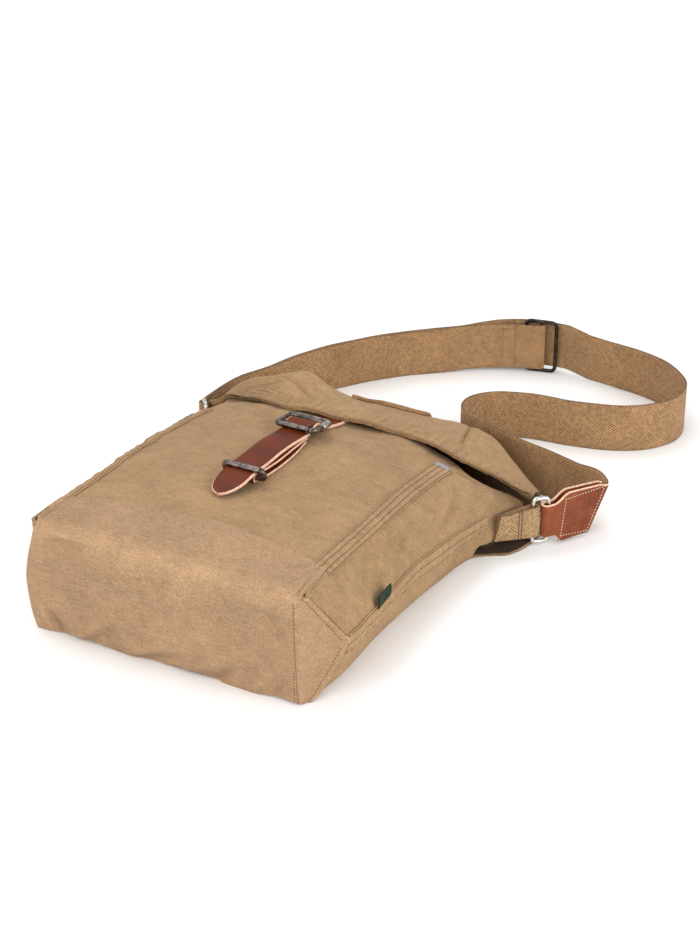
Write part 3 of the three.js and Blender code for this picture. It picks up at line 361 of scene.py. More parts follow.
def outline(column, y):
    """The body's section at y: (x, z) at each column."""
    place = np.mod(column, ALL_COLUMNS)
    along = np.asarray(y, float) / BODY_LENGTH

    def read(name, size, rows=BODY_SECTIONS):
        return read_table(rows, "along", along, name) * size

    front, shift = read("front", BASE_HALF), read("shift", BASE_HALF)
    edge, crown = read("edge", BODY_DEPTH), read("crown", BODY_DEPTH)
    seam, seam_up = read("seam", BASE_HALF), read("seam_up", BODY_DEPTH)
    floor = read("floor", BASE_HALF)
    seam_left = read("seam", BASE_HALF, LEFT_SECTIONS)
    floor_left = read("floor", BASE_HALF, LEFT_SECTIONS)
    across = 2 * place / FRONT_COLUMNS - 1
    top = shift + across * front, mix(edge, crown, 1 - across**2)
    share = (place - FRONT_RIGHT) / SIDE_COLUMNS
    upper = side_curve(shift + front, edge, seam, seam_up, share, UPPER_LEAN, 0.5)
    share = (place - SEAM_RIGHT) / SIDE_COLUMNS
    lower = side_curve(seam, seam_up, floor, 0, share, LOWER_LEAN, 0.8)
    share = (place - FLOOR_RIGHT) / FLOOR_COLUMNS
    under = mix(floor, -floor_left, share), 0 * floor
    share = (SEAM_LEFT - place) / SIDE_COLUMNS
    left_lower = side_curve(seam_left, seam_up, floor_left, 0, share, LOWER_LEAN, 0.8)
    share = (ALL_COLUMNS - place) / SIDE_COLUMNS
    left_upper = side_curve(front - shift, edge, seam_left, seam_up, share, UPPER_LEAN, 0.5)
    corners = [place <= c for c in (FRONT_RIGHT, SEAM_RIGHT, FLOOR_RIGHT, FLOOR_LEFT, SEAM_LEFT)]
    shape = np.broadcast(place, along).shape

    def pick(axis, sign):
        choices = [top[axis], upper[axis], lower[axis], under[axis], sign * left_lower[axis]]
        choices = [np.broadcast_to(choice, shape) for choice in choices]
        return np.select(corners, choices, np.broadcast_to(sign * left_upper[axis], shape))

    return pick(0, -1), pick(1, 1)


def body_relief(column, y):
    """Creases and unevenness of the body's canvas. None where it lies on the floor."""
    place = np.mod(column, ALL_COLUMNS)
    around = np.interp(place, ROUND_COLUMNS, ROUND_PLACES)
    names = ("from_round", "from_along", "to_round", "to_along")
    high = 1.4 * creases(CREASES, names, around, y)
    high = high + ripple(around, y, 3, 62, 0.55) + ripple(around, y, 5, 17, 0.2)
    floor_near = np.minimum(np.abs(place - FLOOR_RIGHT), np.abs(place - FLOOR_LEFT))
    on_floor = (place > FLOOR_RIGHT) & (place < FLOOR_LEFT)
    return high * np.where(on_floor, 0, smooth(floor_near / 1.5)) + side_mouth(place, y)


def side_mouth(place, y):
    """The hollow under the right ring tab, where the bag's side stands open, and its rolled rim."""
    there = smooth((y - OPEN_SIDE_FROM) / 10)
    opened = smooth((y - 210) / 24)
    centre, wide = mix(18.9, 18.4, opened), mix(0.5, 1.2, opened)
    hollow = np.exp(-(((place - centre) / wide) ** 2))
    rim = np.exp(-(((place - 19.85) / 0.14) ** 2))
    return there * (2 * rim - HOLLOW_DEPTH * hollow)


def skin(column, y, lift=0.0):
    """Points of the body's canvas, lifted out of its surface."""
    column, y = np.broadcast_arrays(np.asarray(column, float), np.asarray(y, float))
    x, z = outline(column, y)
    x0, z0 = outline(column - 0.2, y)
    x1, z1 = outline(column + 0.2, y)
    run = np.hypot(x1 - x0, z1 - z0)
    lift = lift + body_relief(column, y)
    points = np.stack([x - lift * (z1 - z0) / run, y, z + lift * (x1 - x0) / run], axis=-1)
    # The open side's lower lip lies a little above the floor.
    place = np.mod(column, ALL_COLUMNS)
    lip = smooth((y - OPEN_SIDE_FROM) / 6)
    lip = lip * smooth((place - 16.5) / 0.5) * smooth((19.98 - place) / 0.1)
    points[..., 2] = np.maximum(points[..., 2], LIP_LIFT * lip)
    return points


def base_limit(column):
    """How far along the bag the base panel reaches on each column."""
    place = np.mod(column, ALL_COLUMNS)

    def strip(share):
        return BASE_STRIP + BASE_STRIP_BOW * (1 - share**2)

    def corner(share):
        return mix(BASE_CORNER_START, BASE_CORNER_REACH, share)

    corners = [place <= c for c in (FRONT_RIGHT, SEAM_RIGHT, FLOOR_RIGHT, FLOOR_LEFT, SEAM_LEFT)]
    values = [
        strip(2 * place / FRONT_COLUMNS - 1),
        corner((place - FRONT_RIGHT) / SIDE_COLUMNS),
        corner((FLOOR_RIGHT - place) / SIDE_COLUMNS),
        strip(2 * (place - FLOOR_RIGHT) / FLOOR_COLUMNS - 1),
        corner((place - FLOOR_LEFT) / SIDE_COLUMNS),
    ]
    return np.select(corners, values, corner((ALL_COLUMNS - place) / SIDE_COLUMNS))


def front_height(y):
    """Height of the bag's front at the closure."""
    along = np.minimum(np.asarray(y, float), BODY_LENGTH) / BODY_LENGTH

    def read(name, size):
        return read_table(BODY_SECTIONS, "along", along, name) * size

    across = (CLOSURE_X - read("shift", BASE_HALF)) / read("front", BASE_HALF)
    return mix(read("edge", BODY_DEPTH), read("crown", BODY_DEPTH), 1 - across**2)


def fold_profile(across, share):
    """The folded top's profile: distance from the base and height."""

    def read(name, size):
        return read_table(FOLD_SECTIONS, "across", across, name) * size

    hem, hem_up = read("hem", FOLD_REACH), read("hem_up", BODY_DEPTH)
    crest, crest_up = read("crest", FOLD_REACH), read("crest_up", BODY_DEPTH)
    start = BODY_LENGTH + PIECE_GAP
    slope = np.maximum(crest - start, 1)
    turn = crest_up * 0.4
    shares = (0.0, 0.2, 0.34, 0.45, 0.56, 0.66, 0.82, 1.0)
    lengths = (
        start + 0 * crest,
        start + slope * 0.55,
        crest - turn * 0.25,
        crest,
        crest - turn * 0.3,
        crest - turn,
        mix(crest - turn, hem, 0.5),
        hem,
    )
    heights = (
        0 * crest,
        0 * crest,
        crest_up * 0.1,
        crest_up * 0.48,
        crest_up * 0.86,
        crest_up,
        mix(crest_up, hem_up, 0.55),
        hem_up,
    )
    return blend_rows(shares, lengths, share), np.maximum(blend_rows(shares, heights, share), 0)


def blend_rows(keys, values, place):
    """read_table for rows whose values differ from point to point."""
    keys = np.array(keys, float)
    values = np.stack(np.broadcast_arrays(*values, place)[:-1])
    place = np.broadcast_to(place, values.shape[1:])
    last = len(keys) - 1
    row = np.clip(np.searchsorted(keys, place) - 1, 0, last - 1)
    before, after = np.maximum(row - 1, 0), np.minimum(row + 2, last)

    def at(index):
        return np.take_along_axis(values, index[None], 0)[0]

    span = keys[row + 1] - keys[row]
    share = np.clip((place - keys[row]) / span, 0, 1)
    slope_from = (at(row + 1) - at(before)) / (keys[row + 1] - keys[before])
    slope_to = (at(after) - at(row)) / (keys[after] - keys[row])
    s2, s3 = share**2, share**3
    return (
        (2 * s3 - 3 * s2 + 1) * at(row)
        + (s3 - 2 * s2 + share) * span * slope_from
        + (3 * s2 - 2 * s3) * at(row + 1)
        + (s3 - s2) * span * slope_to
    )


def fold_relief(across, share):
    a, b = across * MOUTH_HALF, share * 170
    rows = dict(FOLD_CREASES)
    for name in ("from_across", "to_across"):
        rows[name] = rows[name] * MOUTH_HALF
    for name in ("from_share", "to_share"):
        rows[name] = rows[name] * 170
    names = ("from_across", "from_share", "to_across", "to_share")
    high = creases(rows, names, a, b) + ripple(a, b, 11, 48, 0.7) + ripple(a, b, 13, 15, 0.2)
    # Its front edge lies down on the bag, most of all at the left.
    drop = mix(1.5, 5.0, smooth((-0.16 - across) / 0.2)) * smooth((share - 0.7) / 0.3)
    drop = drop * smooth((0.5 - across) / 0.3)
    # Near its right end the front edge stands off the bag.
    raised = 3.8 * smooth((across - 0.42) / 0.2) * smooth((1.0 - across) / 0.16)
    raised = raised * smooth((share - 0.74) / 0.24)
    return high * smooth((share - 0.24) / 0.2) - drop + raised


def fold_skin(across, share, lift=0.0):
    """Points of the folded top, lifted out of its surface."""
    across, share = np.broadcast_arrays(np.asarray(across, float), np.asarray(share, float))
    y, z = fold_profile(across, share)
    y0, z0 = fold_profile(across, np.maximum(share - 0.01, 0))
    y1, z1 = fold_profile(across, np.minimum(share + 0.01, 1))
    run = np.hypot(y1 - y0, z1 - z0)
    lift = lift + fold_relief(across, share)
    points = np.stack(
        [across * MOUTH_HALF, y + lift * (z1 - z0) / run, z - lift * (y1 - y0) / run], axis=-1
    )
    points[..., 2] = np.maximum(points[..., 2], 0)
    return points


# Mesh making


def place_in_frame(points):
    """Points in millimetres from the base, brought to metres in the shared frame."""
    points = np.array(points, float).reshape(-1, 3)
    return (points - (0, ORIGIN_FROM_BASE, 0)) / 1000


def new_object(name, mesh):
    piece = bpy.data.objects.new(name, mesh)
    bpy.context.scene.collection.objects.link(piece)
    return piece


def make_mesh(name, points, faces, materials, uv=None, slots=None, crease_angle=40, wear=None):
    """An object from points in millimetres, faces, and a flat place in metres for each point.
    Nothing goes below the floor."""
    mesh = bpy.data.meshes.new(name)
    points = np.array(points, float).reshape(-1, 3)
    points[:, 2] = np.maximum(points[:, 2], 0)
    mesh.from_pydata(place_in_frame(points).tolist(), [], [list(map(int, face)) for face in faces])
    if uv is not None:
        corners = np.zeros(len(mesh.loops), np.int32)
        mesh.loops.foreach_get("vertex_index", corners)
        layer = mesh.uv_layers.new(name="Flat")
        layer.data.foreach_set("uv", np.asarray(uv, np.float32)[corners].ravel())
    # Each point's wear, with painted shade in the grooves, for the canvas's colour.
    if wear is not None:
        mesh.attributes.new("Wear", "FLOAT", "POINT").data.foreach_set("value", wear)
    for material in materials:
        mesh.materials.append(material)
    if slots is not None:
        mesh.polygons.foreach_set("material_index", np.asarray(slots, np.int32))
    mesh.shade_smooth()
    mesh.set_sharp_from_angle(angle=math.radians(crease_angle))
    mesh.validate()
    mesh.update()
    return new_object(name, mesh)


def grid_faces(rows, columns):
    """Quads of a grid of points, counted row by row."""
    start = np.arange(rows * columns).reshape(rows, columns)
    return np.stack(
        [start[:-1, :-1], start[:-1, 1:], start[1:, 1:], start[1:, :-1]], axis=-1
    ).reshape(-1, 4)


def grid_flat(points):
    """Flat places in metres for a grid of points, from the lengths of its middle row and column."""
    middle_row = points[points.shape[0] // 2]
    middle_column = points[:, points.shape[1] // 2]
    u = np.concatenate([[0], np.cumsum(np.linalg.norm(np.diff(middle_row, axis=0), axis=1))])
    v = np.concatenate([[0], np.cumsum(np.linalg.norm(np.diff(middle_column, axis=0), axis=1))])
    return np.stack(np.meshgrid(u, v), axis=-1).reshape(-1, 2) / 1000


def vertex_normals(points, faces):
    a, b, c, d = (points[faces[:, i]] for i in range(4))
    facing = np.cross(c - a, d - b)
    normals = np.zeros_like(points)
    for i in range(4):
        np.add.at(normals, faces[:, i], facing)
    return unit(normals + 1e-12)


def worn(points, faces, normals):
    """How worn and how shaded each point is: ridges are rubbed pale, above 0, and grooves are darkened
    with painted shade, below 0.
    """
    edges = np.unique(
        np.sort(np.concatenate([faces[:, [i, (i + 1) % 4]] for i in range(4)]), axis=1), axis=0
    )
    total, count, length = np.zeros_like(points), np.zeros(len(points)), np.zeros(len(points))
    span = np.linalg.norm(points[edges[:, 0]] - points[edges[:, 1]], axis=1)
    for a, b in ((0, 1), (1, 0)):
        np.add.at(total, edges[:, a], points[edges[:, b]] - points[edges[:, a]])
        np.add.at(length, edges[:, a], span)
        np.add.at(count, edges[:, a], 1)
    bend = -(total * normals).sum(axis=1) * count / np.maximum(length, 1e-6) ** 2
    return np.tanh(WEAR_AND_SHADE_GAIN * bend)


def cloth(name, points, faces, uv, wall, materials, slots=None, rubbed=0.0):
    """A closed piece of cloth: its outer face, an inner one a wall's thickness in, and the rim."""
    points = np.array(points, float).reshape(-1, 3)
    normals = vertex_normals(points, faces)
    # Ridges rubbed pale by wear, grooves darkened with painted shade, and the piece's own rubbing.
    wear = np.clip(worn(points, faces, normals) + rubbed, -1, 1)
    inner = points - wall * normals
    count = len(points)
    edges = np.concatenate([faces[:, [i, (i + 1) % 4]] for i in range(4)])
    key = np.sort(edges, axis=1)
    _, first, uses = np.unique(key, axis=0, return_index=True, return_counts=True)
    border = edges[first[uses == 1]]
    rim = np.stack([border[:, 1], border[:, 0], border[:, 0] + count, border[:, 1] + count], axis=1)
    all_faces = np.concatenate([faces, faces[:, ::-1] + count, rim])
    if slots is not None:
        slots = np.concatenate([slots, slots, np.zeros(len(rim), int)])
    return make_mesh(
        name,
        np.concatenate([points, inner]),
        all_faces,
        materials,
        np.concatenate([uv, uv]),
        slots,
        wear=np.concatenate([wear, wear]),
    )


def cloth_grid(name, grid, wall, material):
    return cloth(name, grid, grid_faces(*grid.shape[:2]), grid_flat(grid), wall, [material])


def swept(name, rings, materials, closed=False, slots=None, flat=None, crease_angle=40):
    """A solid through rings of points. slots gives each side of a ring its material."""
    rings = np.array(rings, float)
    count, sides = rings.shape[:2]
    index = np.arange(count * sides).reshape(count, sides)
    if closed:
        index = np.concatenate([index, index[:1]])
    ahead = np.roll(index, -1, axis=1)
    faces = np.stack([index[:-1], ahead[:-1], ahead[1:], index[1:]], axis=-1).reshape(-1, 4)
    face_slots = np.tile(np.zeros(sides, int) if slots is None else slots, len(index) - 1)
    centre = rings.mean(axis=1)
    spokes = rings - centre[:, None]
    turn = np.cross(spokes, np.roll(spokes, -1, axis=1)).sum(axis=1)
    tangent = np.gradient(centre, axis=0)
    inward = (turn * tangent).sum() > 0
    faces = [tuple(face) if inward else tuple(face[::-1]) for face in faces]
    face_slots = list(face_slots)
    if not closed:
        ends = [tuple(index[0]), tuple(index[-1])]
        ends = [ends[0][::-1], ends[1]] if inward else [ends[0], ends[1][::-1]]
        faces += ends
        edge_slot = 0 if slots is None else int(max(slots))
        face_slots += [edge_slot, edge_slot]
    return make_mesh(
        name, rings.reshape(-1, 3), faces, materials, flat, face_slots, crease_angle
    )


def frames_along(places, across):
    """Tangent, across and normal directions along a line of places."""
    tangent = unit(np.gradient(places, axis=0))
    across = unit(np.broadcast_to(across, places.shape))
    normal = unit(np.cross(tangent, across))
    return tangent, across, normal


def strap(name, places, across, half, thick, materials, columns=10, soft=0.45, wavy=0.0):
    """A flat strap along places: rounded edges, and an edge material if two are given."""
    places = np.array(places, float)
    count = len(places)
    _, across, normal = frames_along(places, across)
    half = np.broadcast_to(np.asarray(half, float), (count,))
    bevel = soft * thick
    side = np.linspace(-1, 1, columns)
    length = np.concatenate([[0], np.cumsum(np.linalg.norm(np.diff(places, axis=0), axis=1))])
    rings, slots, flats = [], [], []
    ring = [(s, "face", thick / 2) for s in side]
    corner = [(1, "edge", thick / 2 - bevel), (1, "edge", bevel - thick / 2)]
    ring += corner + [(s, "face", -thick / 2) for s in side[::-1]]
    ring += [(-1, "edge", bevel - thick / 2), (-1, "edge", thick / 2 - bevel)]
    for s, kind, height in ring:
        inset = bevel * 0.8 if kind == "face" else 0
        out = s * (half - inset)
        if wavy:
            out = out + s * wavy * np.sin(length / 9 + s) * np.sin(length / 23)
        rings.append(places + across * out[:, None] + normal * height)
        flats.append(np.stack([length, out + (0 if height > 0 else 7)], axis=-1) / 1000)
    for i, (_, kind, _) in enumerate(ring):
        after = ring[(i + 1) % len(ring)][1]
        slots.append(0 if kind == after == "face" else len(materials) - 1)
    rings = np.stack(rings, axis=1)
    flat = np.stack(flats, axis=1).reshape(-1, 2)
    return swept(name, rings, materials, False, slots, flat, 75)


def wire_loop(name, middle, lengthways, sideways, length, width, corner, wire, material, swell=None):
    """A round wire bent to a rounded rectangle. swell gives its thickness by its direction."""
    middle, lengthways, sideways = (np.asarray(v, float) for v in (middle, lengthways, sideways))
    facing = np.cross(lengthways, sideways)
    rings = []
    turns = np.linspace(0, math.tau, 20, endpoint=False)
    for quarter, (sign_l, sign_w) in enumerate(((1, 1), (-1, 1), (-1, -1), (1, -1))):
        hub = middle + lengthways * sign_l * (length / 2 - corner)
        hub = hub + sideways * sign_w * (width / 2 - corner)
        for angle in np.linspace(quarter, quarter + 1, 9) * math.pi / 2:
            out = lengthways * math.cos(angle) + sideways * math.sin(angle)
            radius = wire / 2 * (1 if swell is None else swell(out))
            at = hub + out * corner
            rings.append([at + (out * math.cos(t) + facing * math.sin(t)) * radius for t in turns])
    rings = fill_rings(np.array(rings), 3.0, True)
    return swept(name, rings, [material], True, crease_angle=80)


def fill_rings(rings, most, closed):
    """Adds rings where two lie further apart than most."""
    result = []
    count = len(rings)
    for i in range(count if closed else count - 1):
        here, there = rings[i], rings[(i + 1) % count]
        gap = np.linalg.norm(there.mean(axis=0) - here.mean(axis=0))
        parts = max(1, math.ceil(gap / most))
        result += [mix(here, there, k / parts) for k in range(parts)]
    if not closed:
        result.append(rings[-1])
    return np.array(result)


def round_bar(name, start, end, diameter, material):
    """A straight round bar whose ends are rounded."""
    rounded = 0.4
    start, end = np.asarray(start, float), np.asarray(end, float)
    along = unit(end - start)
    side = unit(np.cross(along, (0.3, 0.5, 0.81)))
    other = np.cross(along, side)
    length = np.linalg.norm(end - start)
    turns = np.linspace(0, math.tau, 20, endpoint=False)
    rings = []
    for place, share in (
        (0, 0.55),
        (rounded * 0.3, 0.85),
        (rounded, 1),
        (length / 2, 1),
        (length - rounded, 1),
        (length - rounded * 0.3, 0.85),
        (length, 0.55),
    ):
        radius = diameter / 2 * share
        at = start + along * place
        rings.append([at + (side * math.cos(t) + other * math.sin(t)) * radius for t in turns])
    return swept(name, rings, [material], crease_angle=80)


def take(piece, slot, *nodes):
    """The piece stands for these nodes of the model and rides on its one body."""
    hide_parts(*nodes)
    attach(piece, "root")
    return piece


def trim(piece):
    """An added detail that rides along."""
    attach(piece, "root")
    return piece


# Materials


def colour(text):
    """Linear red, green, blue and alpha of an sRGB hex colour."""
    parts = [int(text[i : i + 2], 16) / 255 for i in (1, 3, 5)]
    return (*[p / 12.92 if p <= 0.04045 else ((p + 0.055) / 1.055) ** 2.4 for p in parts], 1)


def add_node(tree, kind, inputs=None, **settings):
    """A new node with its settings, and its inputs set or linked."""
    node = tree.nodes.new(kind)
    for name, value in settings.items():
        setattr(node, name, value)
    for name, value in (inputs or {}).items():
        if isinstance(value, bpy.types.NodeSocket):
            tree.links.new(value, node.inputs[name])
        else:
            node.inputs[name].default_value = value
    return node


def value_of(tree, operation, first, second=0.5):
    """The result of one sum on two values or sockets."""
    return add_node(tree, "ShaderNodeMath", {0: first, 1: second}, operation=operation).outputs[0]


def start_material(name, **constants):
    """A material with one shader, its constants set on the shader's own sockets."""
    material = bpy.data.materials.new(name)
    material.use_nodes = True
    tree = material.node_tree
    shader = tree.nodes["Principled BSDF"]
    for socket, value in constants.items():
        shader.inputs[socket.replace("_", " ")].default_value = value
    return material, tree, shader


def noise(tree, place, per_metre, detail=3.0, roughness=0.55):
    inputs = {"Vector": place, "Scale": per_metre, "Detail": detail, "Roughness": roughness}
    return add_node(tree, "ShaderNodeTexNoise", inputs).outputs["Fac"]


def shades(middle, dark=0.56, light=1.5):
    """A dark, a middle and a light shade of one linear colour."""
    return [(*[min(part * share, 1) for part in middle[:3]], 1) for share in (dark, 1, light)]


def ramp(tree, amount, *stops):
    """Linear colours at places between 0 and 1."""
    node = add_node(tree, "ShaderNodeValToRGB", {"Fac": amount})
    line = node.color_ramp
    while len(line.elements) < len(stops):
        line.elements.new(0.5)
    for element, (place, shade) in zip(line.elements, stops):
        element.position = place
        element.color = shade
    return node.outputs["Color"]


def crossing_threads(tree, along, across):
    """Height of crossing threads, by their spacing in metres along and across the flat cloth."""
    flat = add_node(tree, "ShaderNodeUVMap", uv_map="Flat").outputs["UV"]
    parts = add_node(tree, "ShaderNodeSeparateXYZ", {"Vector": flat})
    u = value_of(tree, "MULTIPLY", parts.outputs["X"], math.pi / along)
    v = value_of(tree, "MULTIPLY", parts.outputs["Y"], math.pi / across)
    waves = value_of(tree, "MULTIPLY", value_of(tree, "SINE", u), value_of(tree, "SINE", v))
    return value_of(tree, "MULTIPLY_ADD", waves, 0.5), flat


def weigh(tree, *parts):
    """Values that swing round a half, added up by their weights, to swing round a half again."""
    total = value_of(tree, "MULTIPLY_ADD", parts[0][0], parts[0][1])
    total.node.inputs[2].default_value = 0.5 - sum(weight for _, weight in parts) / 2
    for value, weight in parts[1:]:
        total = value_of(tree, "ADD", total, value_of(tree, "MULTIPLY", value, weight))
    return total


def bump(tree, shader, height, distance, strength=1.0):
    inputs = {"Height": height, "Distance": distance, "Strength": strength}
    node = add_node(tree, "ShaderNodeBump", inputs)
    tree.links.new(node.outputs["Normal"], shader.inputs["Normal"])


def canvas_material(name, middle):
    """Washed cotton canvas: uneven dye, slubs in the yarn, a plain weave of fine threads, ridges rubbed
    pale and painted shade in its grooves.
    """
    material, tree, shader = start_material(
        name, Roughness=0.95, Sheen_Weight=0.06, Sheen_Roughness=0.6, Specular_IOR_Level=0.08
    )
    looks = bpy.context.scene.bag_cloth
    dark, middle, light = shades(middle)
    place = add_node(tree, "ShaderNodeTexCoord").outputs["Object"]
    weave, flat = crossing_threads(tree, looks.canvas_weave, looks.canvas_weave)
    slubs = add_node(tree, "ShaderNodeMapping", {"Vector": flat, "Scale": (60, 800, 1)})
    slub = noise(tree, slubs.outputs["Vector"], 1.0, 2.0)
    grain = noise(tree, place, 640, 4.0, 0.75)
    cloud = noise(tree, place, 120, 4.0, 0.65)
    mottle = noise(tree, place, 24, 4.0, 0.6)
    # The point attribute pales the ridges as wear and darkens grooves and folds with painted shade.
    wear = add_node(tree, "ShaderNodeAttribute", attribute_name="Wear").outputs["Fac"]
    amount = weigh(tree, (grain, 0.75), (cloud, 0.32), (mottle, 0.32), (slub, 0.25), (weave, 0.08))
    rubbed = value_of(tree, "MULTIPLY", wear, looks.wear)
    amount = value_of(tree, "ADD", amount, rubbed)
    tint = ramp(tree, amount, (0.22, dark), (0.5, middle), (0.8, light))
    tree.links.new(tint, shader.inputs["Base Color"])
    height = value_of(tree, "ADD", value_of(tree, "MULTIPLY", weave, 0.4), grain)
    bump(tree, shader, height, 0.0006, 0.85)
    return material


def webbing_material(name, middle):
    """Coarse cotton webbing: light yarn that shows in rows of dots between darker yarn."""
    material, tree, shader = start_material(
        name, Roughness=0.92, Sheen_Weight=0.08, Sheen_Roughness=0.5, Specular_IOR_Level=0.12
    )
    looks = bpy.context.scene.bag_cloth
    dark, middle, light = shades(middle, 0.5, 1.75)
    place = add_node(tree, "ShaderNodeTexCoord").outputs["Object"]
    weave, _ = crossing_threads(tree, looks.webbing_weave, looks.webbing_weave * 0.85)
    wear = noise(tree, place, 420, 3.0, 0.7)
    tone = noise(tree, place, 40, 3.0)
    amount = weigh(tree, (weave, 0.5), (wear, 0.9), (tone, 0.3))
    tint = ramp(tree, amount, (0.22, dark), (0.5, middle), (0.78, light))
    tree.links.new(tint, shader.inputs["Base Color"])
    height = value_of(tree, "ADD", weave, value_of(tree, "MULTIPLY", wear, 0.3))
    bump(tree, shader, height, 0.0005)
    return material


def leather_material(name, middle):
    """Vegetable-tanned leather: a warm red-brown, darker where handled, with fine pores."""
    material, tree, shader = start_material(name, Specular_IOR_Level=0.12)
    dark, middle, light = shades(middle, 0.58, 1.45)
    place = add_node(tree, "ShaderNodeTexCoord").outputs["Object"]
    handled = noise(tree, place, 60, 4.0, 0.65)
    fine = noise(tree, place, 900, 2.0)
    amount = weigh(tree, (handled, 0.9), (fine, 0.3))
    tint = ramp(tree, amount, (0.28, dark), (0.5, middle), (0.74, light))
    tree.links.new(tint, shader.inputs["Base Color"])
    rough = value_of(tree, "MULTIPLY", handled, 0.5)
    tree.links.new(value_of(tree, "ADD", rough, 0.16), shader.inputs["Roughness"])
    pores = add_node(tree, "ShaderNodeTexVoronoi", {"Vector": place, "Scale": 1400.0})
    height = value_of(tree, "ADD", pores.outputs["Distance"], handled)
    bump(tree, shader, height, 0.00025, 0.35)
    return material


def raw_edge_material(middle):
    """The cut edge of the leather: pale pink fibres, darker where the cut is dirty."""
    material, tree, shader = start_material("Raw leather edge", Roughness=0.85)
    dark, middle, light = shades(middle, 0.55, 1.3)
    place = add_node(tree, "ShaderNodeTexCoord").outputs["Object"]
    fibres = noise(tree, place, 700, 4.0, 0.7)
    tint = ramp(tree, fibres, (0.34, dark), (0.5, middle), (0.66, light))
    tree.links.new(tint, shader.inputs["Base Color"])
    bump(tree, shader, fibres, 0.0003, 0.6)
    return material


def metal_material(name, middle, low, high, pits=0.5, spread=0.6):
    """Cast metal whose finish is worn: patches differ in colour and in how they shine."""
    material, tree, shader = start_material(name, Metallic=1.0)
    dark, _, light = shades(middle, 1 - spread, 1 + spread)
    place = add_node(tree, "ShaderNodeTexCoord").outputs["Object"]
    worn = noise(tree, place, 240, 5.0, 0.65)
    tint = ramp(tree, worn, (0.38, dark), (0.6, light))
    tree.links.new(tint, shader.inputs["Base Color"])
    rough = value_of(tree, "MULTIPLY", worn, high - low)
    tree.links.new(value_of(tree, "ADD", rough, low), shader.inputs["Roughness"])
    bump(tree, shader, worn, 0.00025, pits)
    return material


def thread_material(name, middle):
    """Twisted sewing thread: lighter and darker along its twist."""
    material, tree, shader = start_material(name, Roughness=0.8, Sheen_Weight=0.2)
    dark, _, light = shades(middle, 0.7, 1.3)
    place = add_node(tree, "ShaderNodeTexCoord").outputs["Object"]
    twist = noise(tree, place, 1500, 2.0)
    tree.links.new(ramp(tree, twist, (0.35, dark), (0.65, light)), shader.inputs["Base Color"])
    return material


def paper_material(middle):
    """Plain white paper, with a hardly visible unevenness."""
    material, tree, shader = start_material("White paper", Roughness=0.7)
    place = add_node(tree, "ShaderNodeTexCoord").outputs["Object"]
    dark, middle, _ = shades(middle, 0.97, 1)
    tint = ramp(tree, noise(tree, place, 3.0), (0.3, dark), (0.7, middle))
    tree.links.new(tint, shader.inputs["Base Color"])
    return material


MATERIALS = {}


def material(key):
    """A material by its short name, made when it is first asked for."""
    cloths, fittings = bpy.context.scene.bag_cloth, bpy.context.scene.bag_fittings
    makers = {
        "canvas": lambda: canvas_material("Washed canvas", cloths.canvas),
        # The base panel is the body's canvas a little lighter: painted light for the brighter light on
        # the base face.
        "base": lambda: canvas_material("Base canvas with painted light", cloths.base),
        # The shadowed inside of the bag is a dark canvas: painted shade.
        "inside_shade": lambda: canvas_material("Painted inside shade", cloths.inside_shade),
        "label": lambda: canvas_material("Green label cloth", cloths.label),
        "webbing": lambda: webbing_material("Cotton webbing", cloths.webbing),
        "selvage": lambda: webbing_material("Webbing selvage", cloths.selvage),
        "tab": lambda: webbing_material("Light tab webbing", cloths.tab),
        "leather": lambda: leather_material("Tan leather", fittings.leather),
        "closure": lambda: leather_material("Handled tan leather", fittings.closure),
        "edge": lambda: raw_edge_material(fittings.leather_edge),
        "antique": lambda: metal_material("Antique silver", fittings.antique, 0.12, 0.62, 0.3),
        "nickel": lambda: metal_material("Bright nickel", fittings.nickel, 0.18, 0.4, 0.03, 0.15),
        "worn": lambda: metal_material("Worn nickel", fittings.worn_nickel, 0.2, 0.6),
        "black": lambda: metal_material("Blackened metal", fittings.black, 0.25, 0.7),
        "thread": lambda: thread_material("Brown thread", colour("#8A6A4C")),
        "dark_thread": lambda: thread_material("Dark brown thread", colour("#5A422E")),
        "pale_thread": lambda: thread_material("Pale thread", colour("#D8BC9E")),
        "bartack": lambda: thread_material("Grey-blue thread", colour("#8A8C94")),
    }
    if key not in MATERIALS:
        MATERIALS[key] = makers[key]()
    return MATERIALS[key]


# Stitches


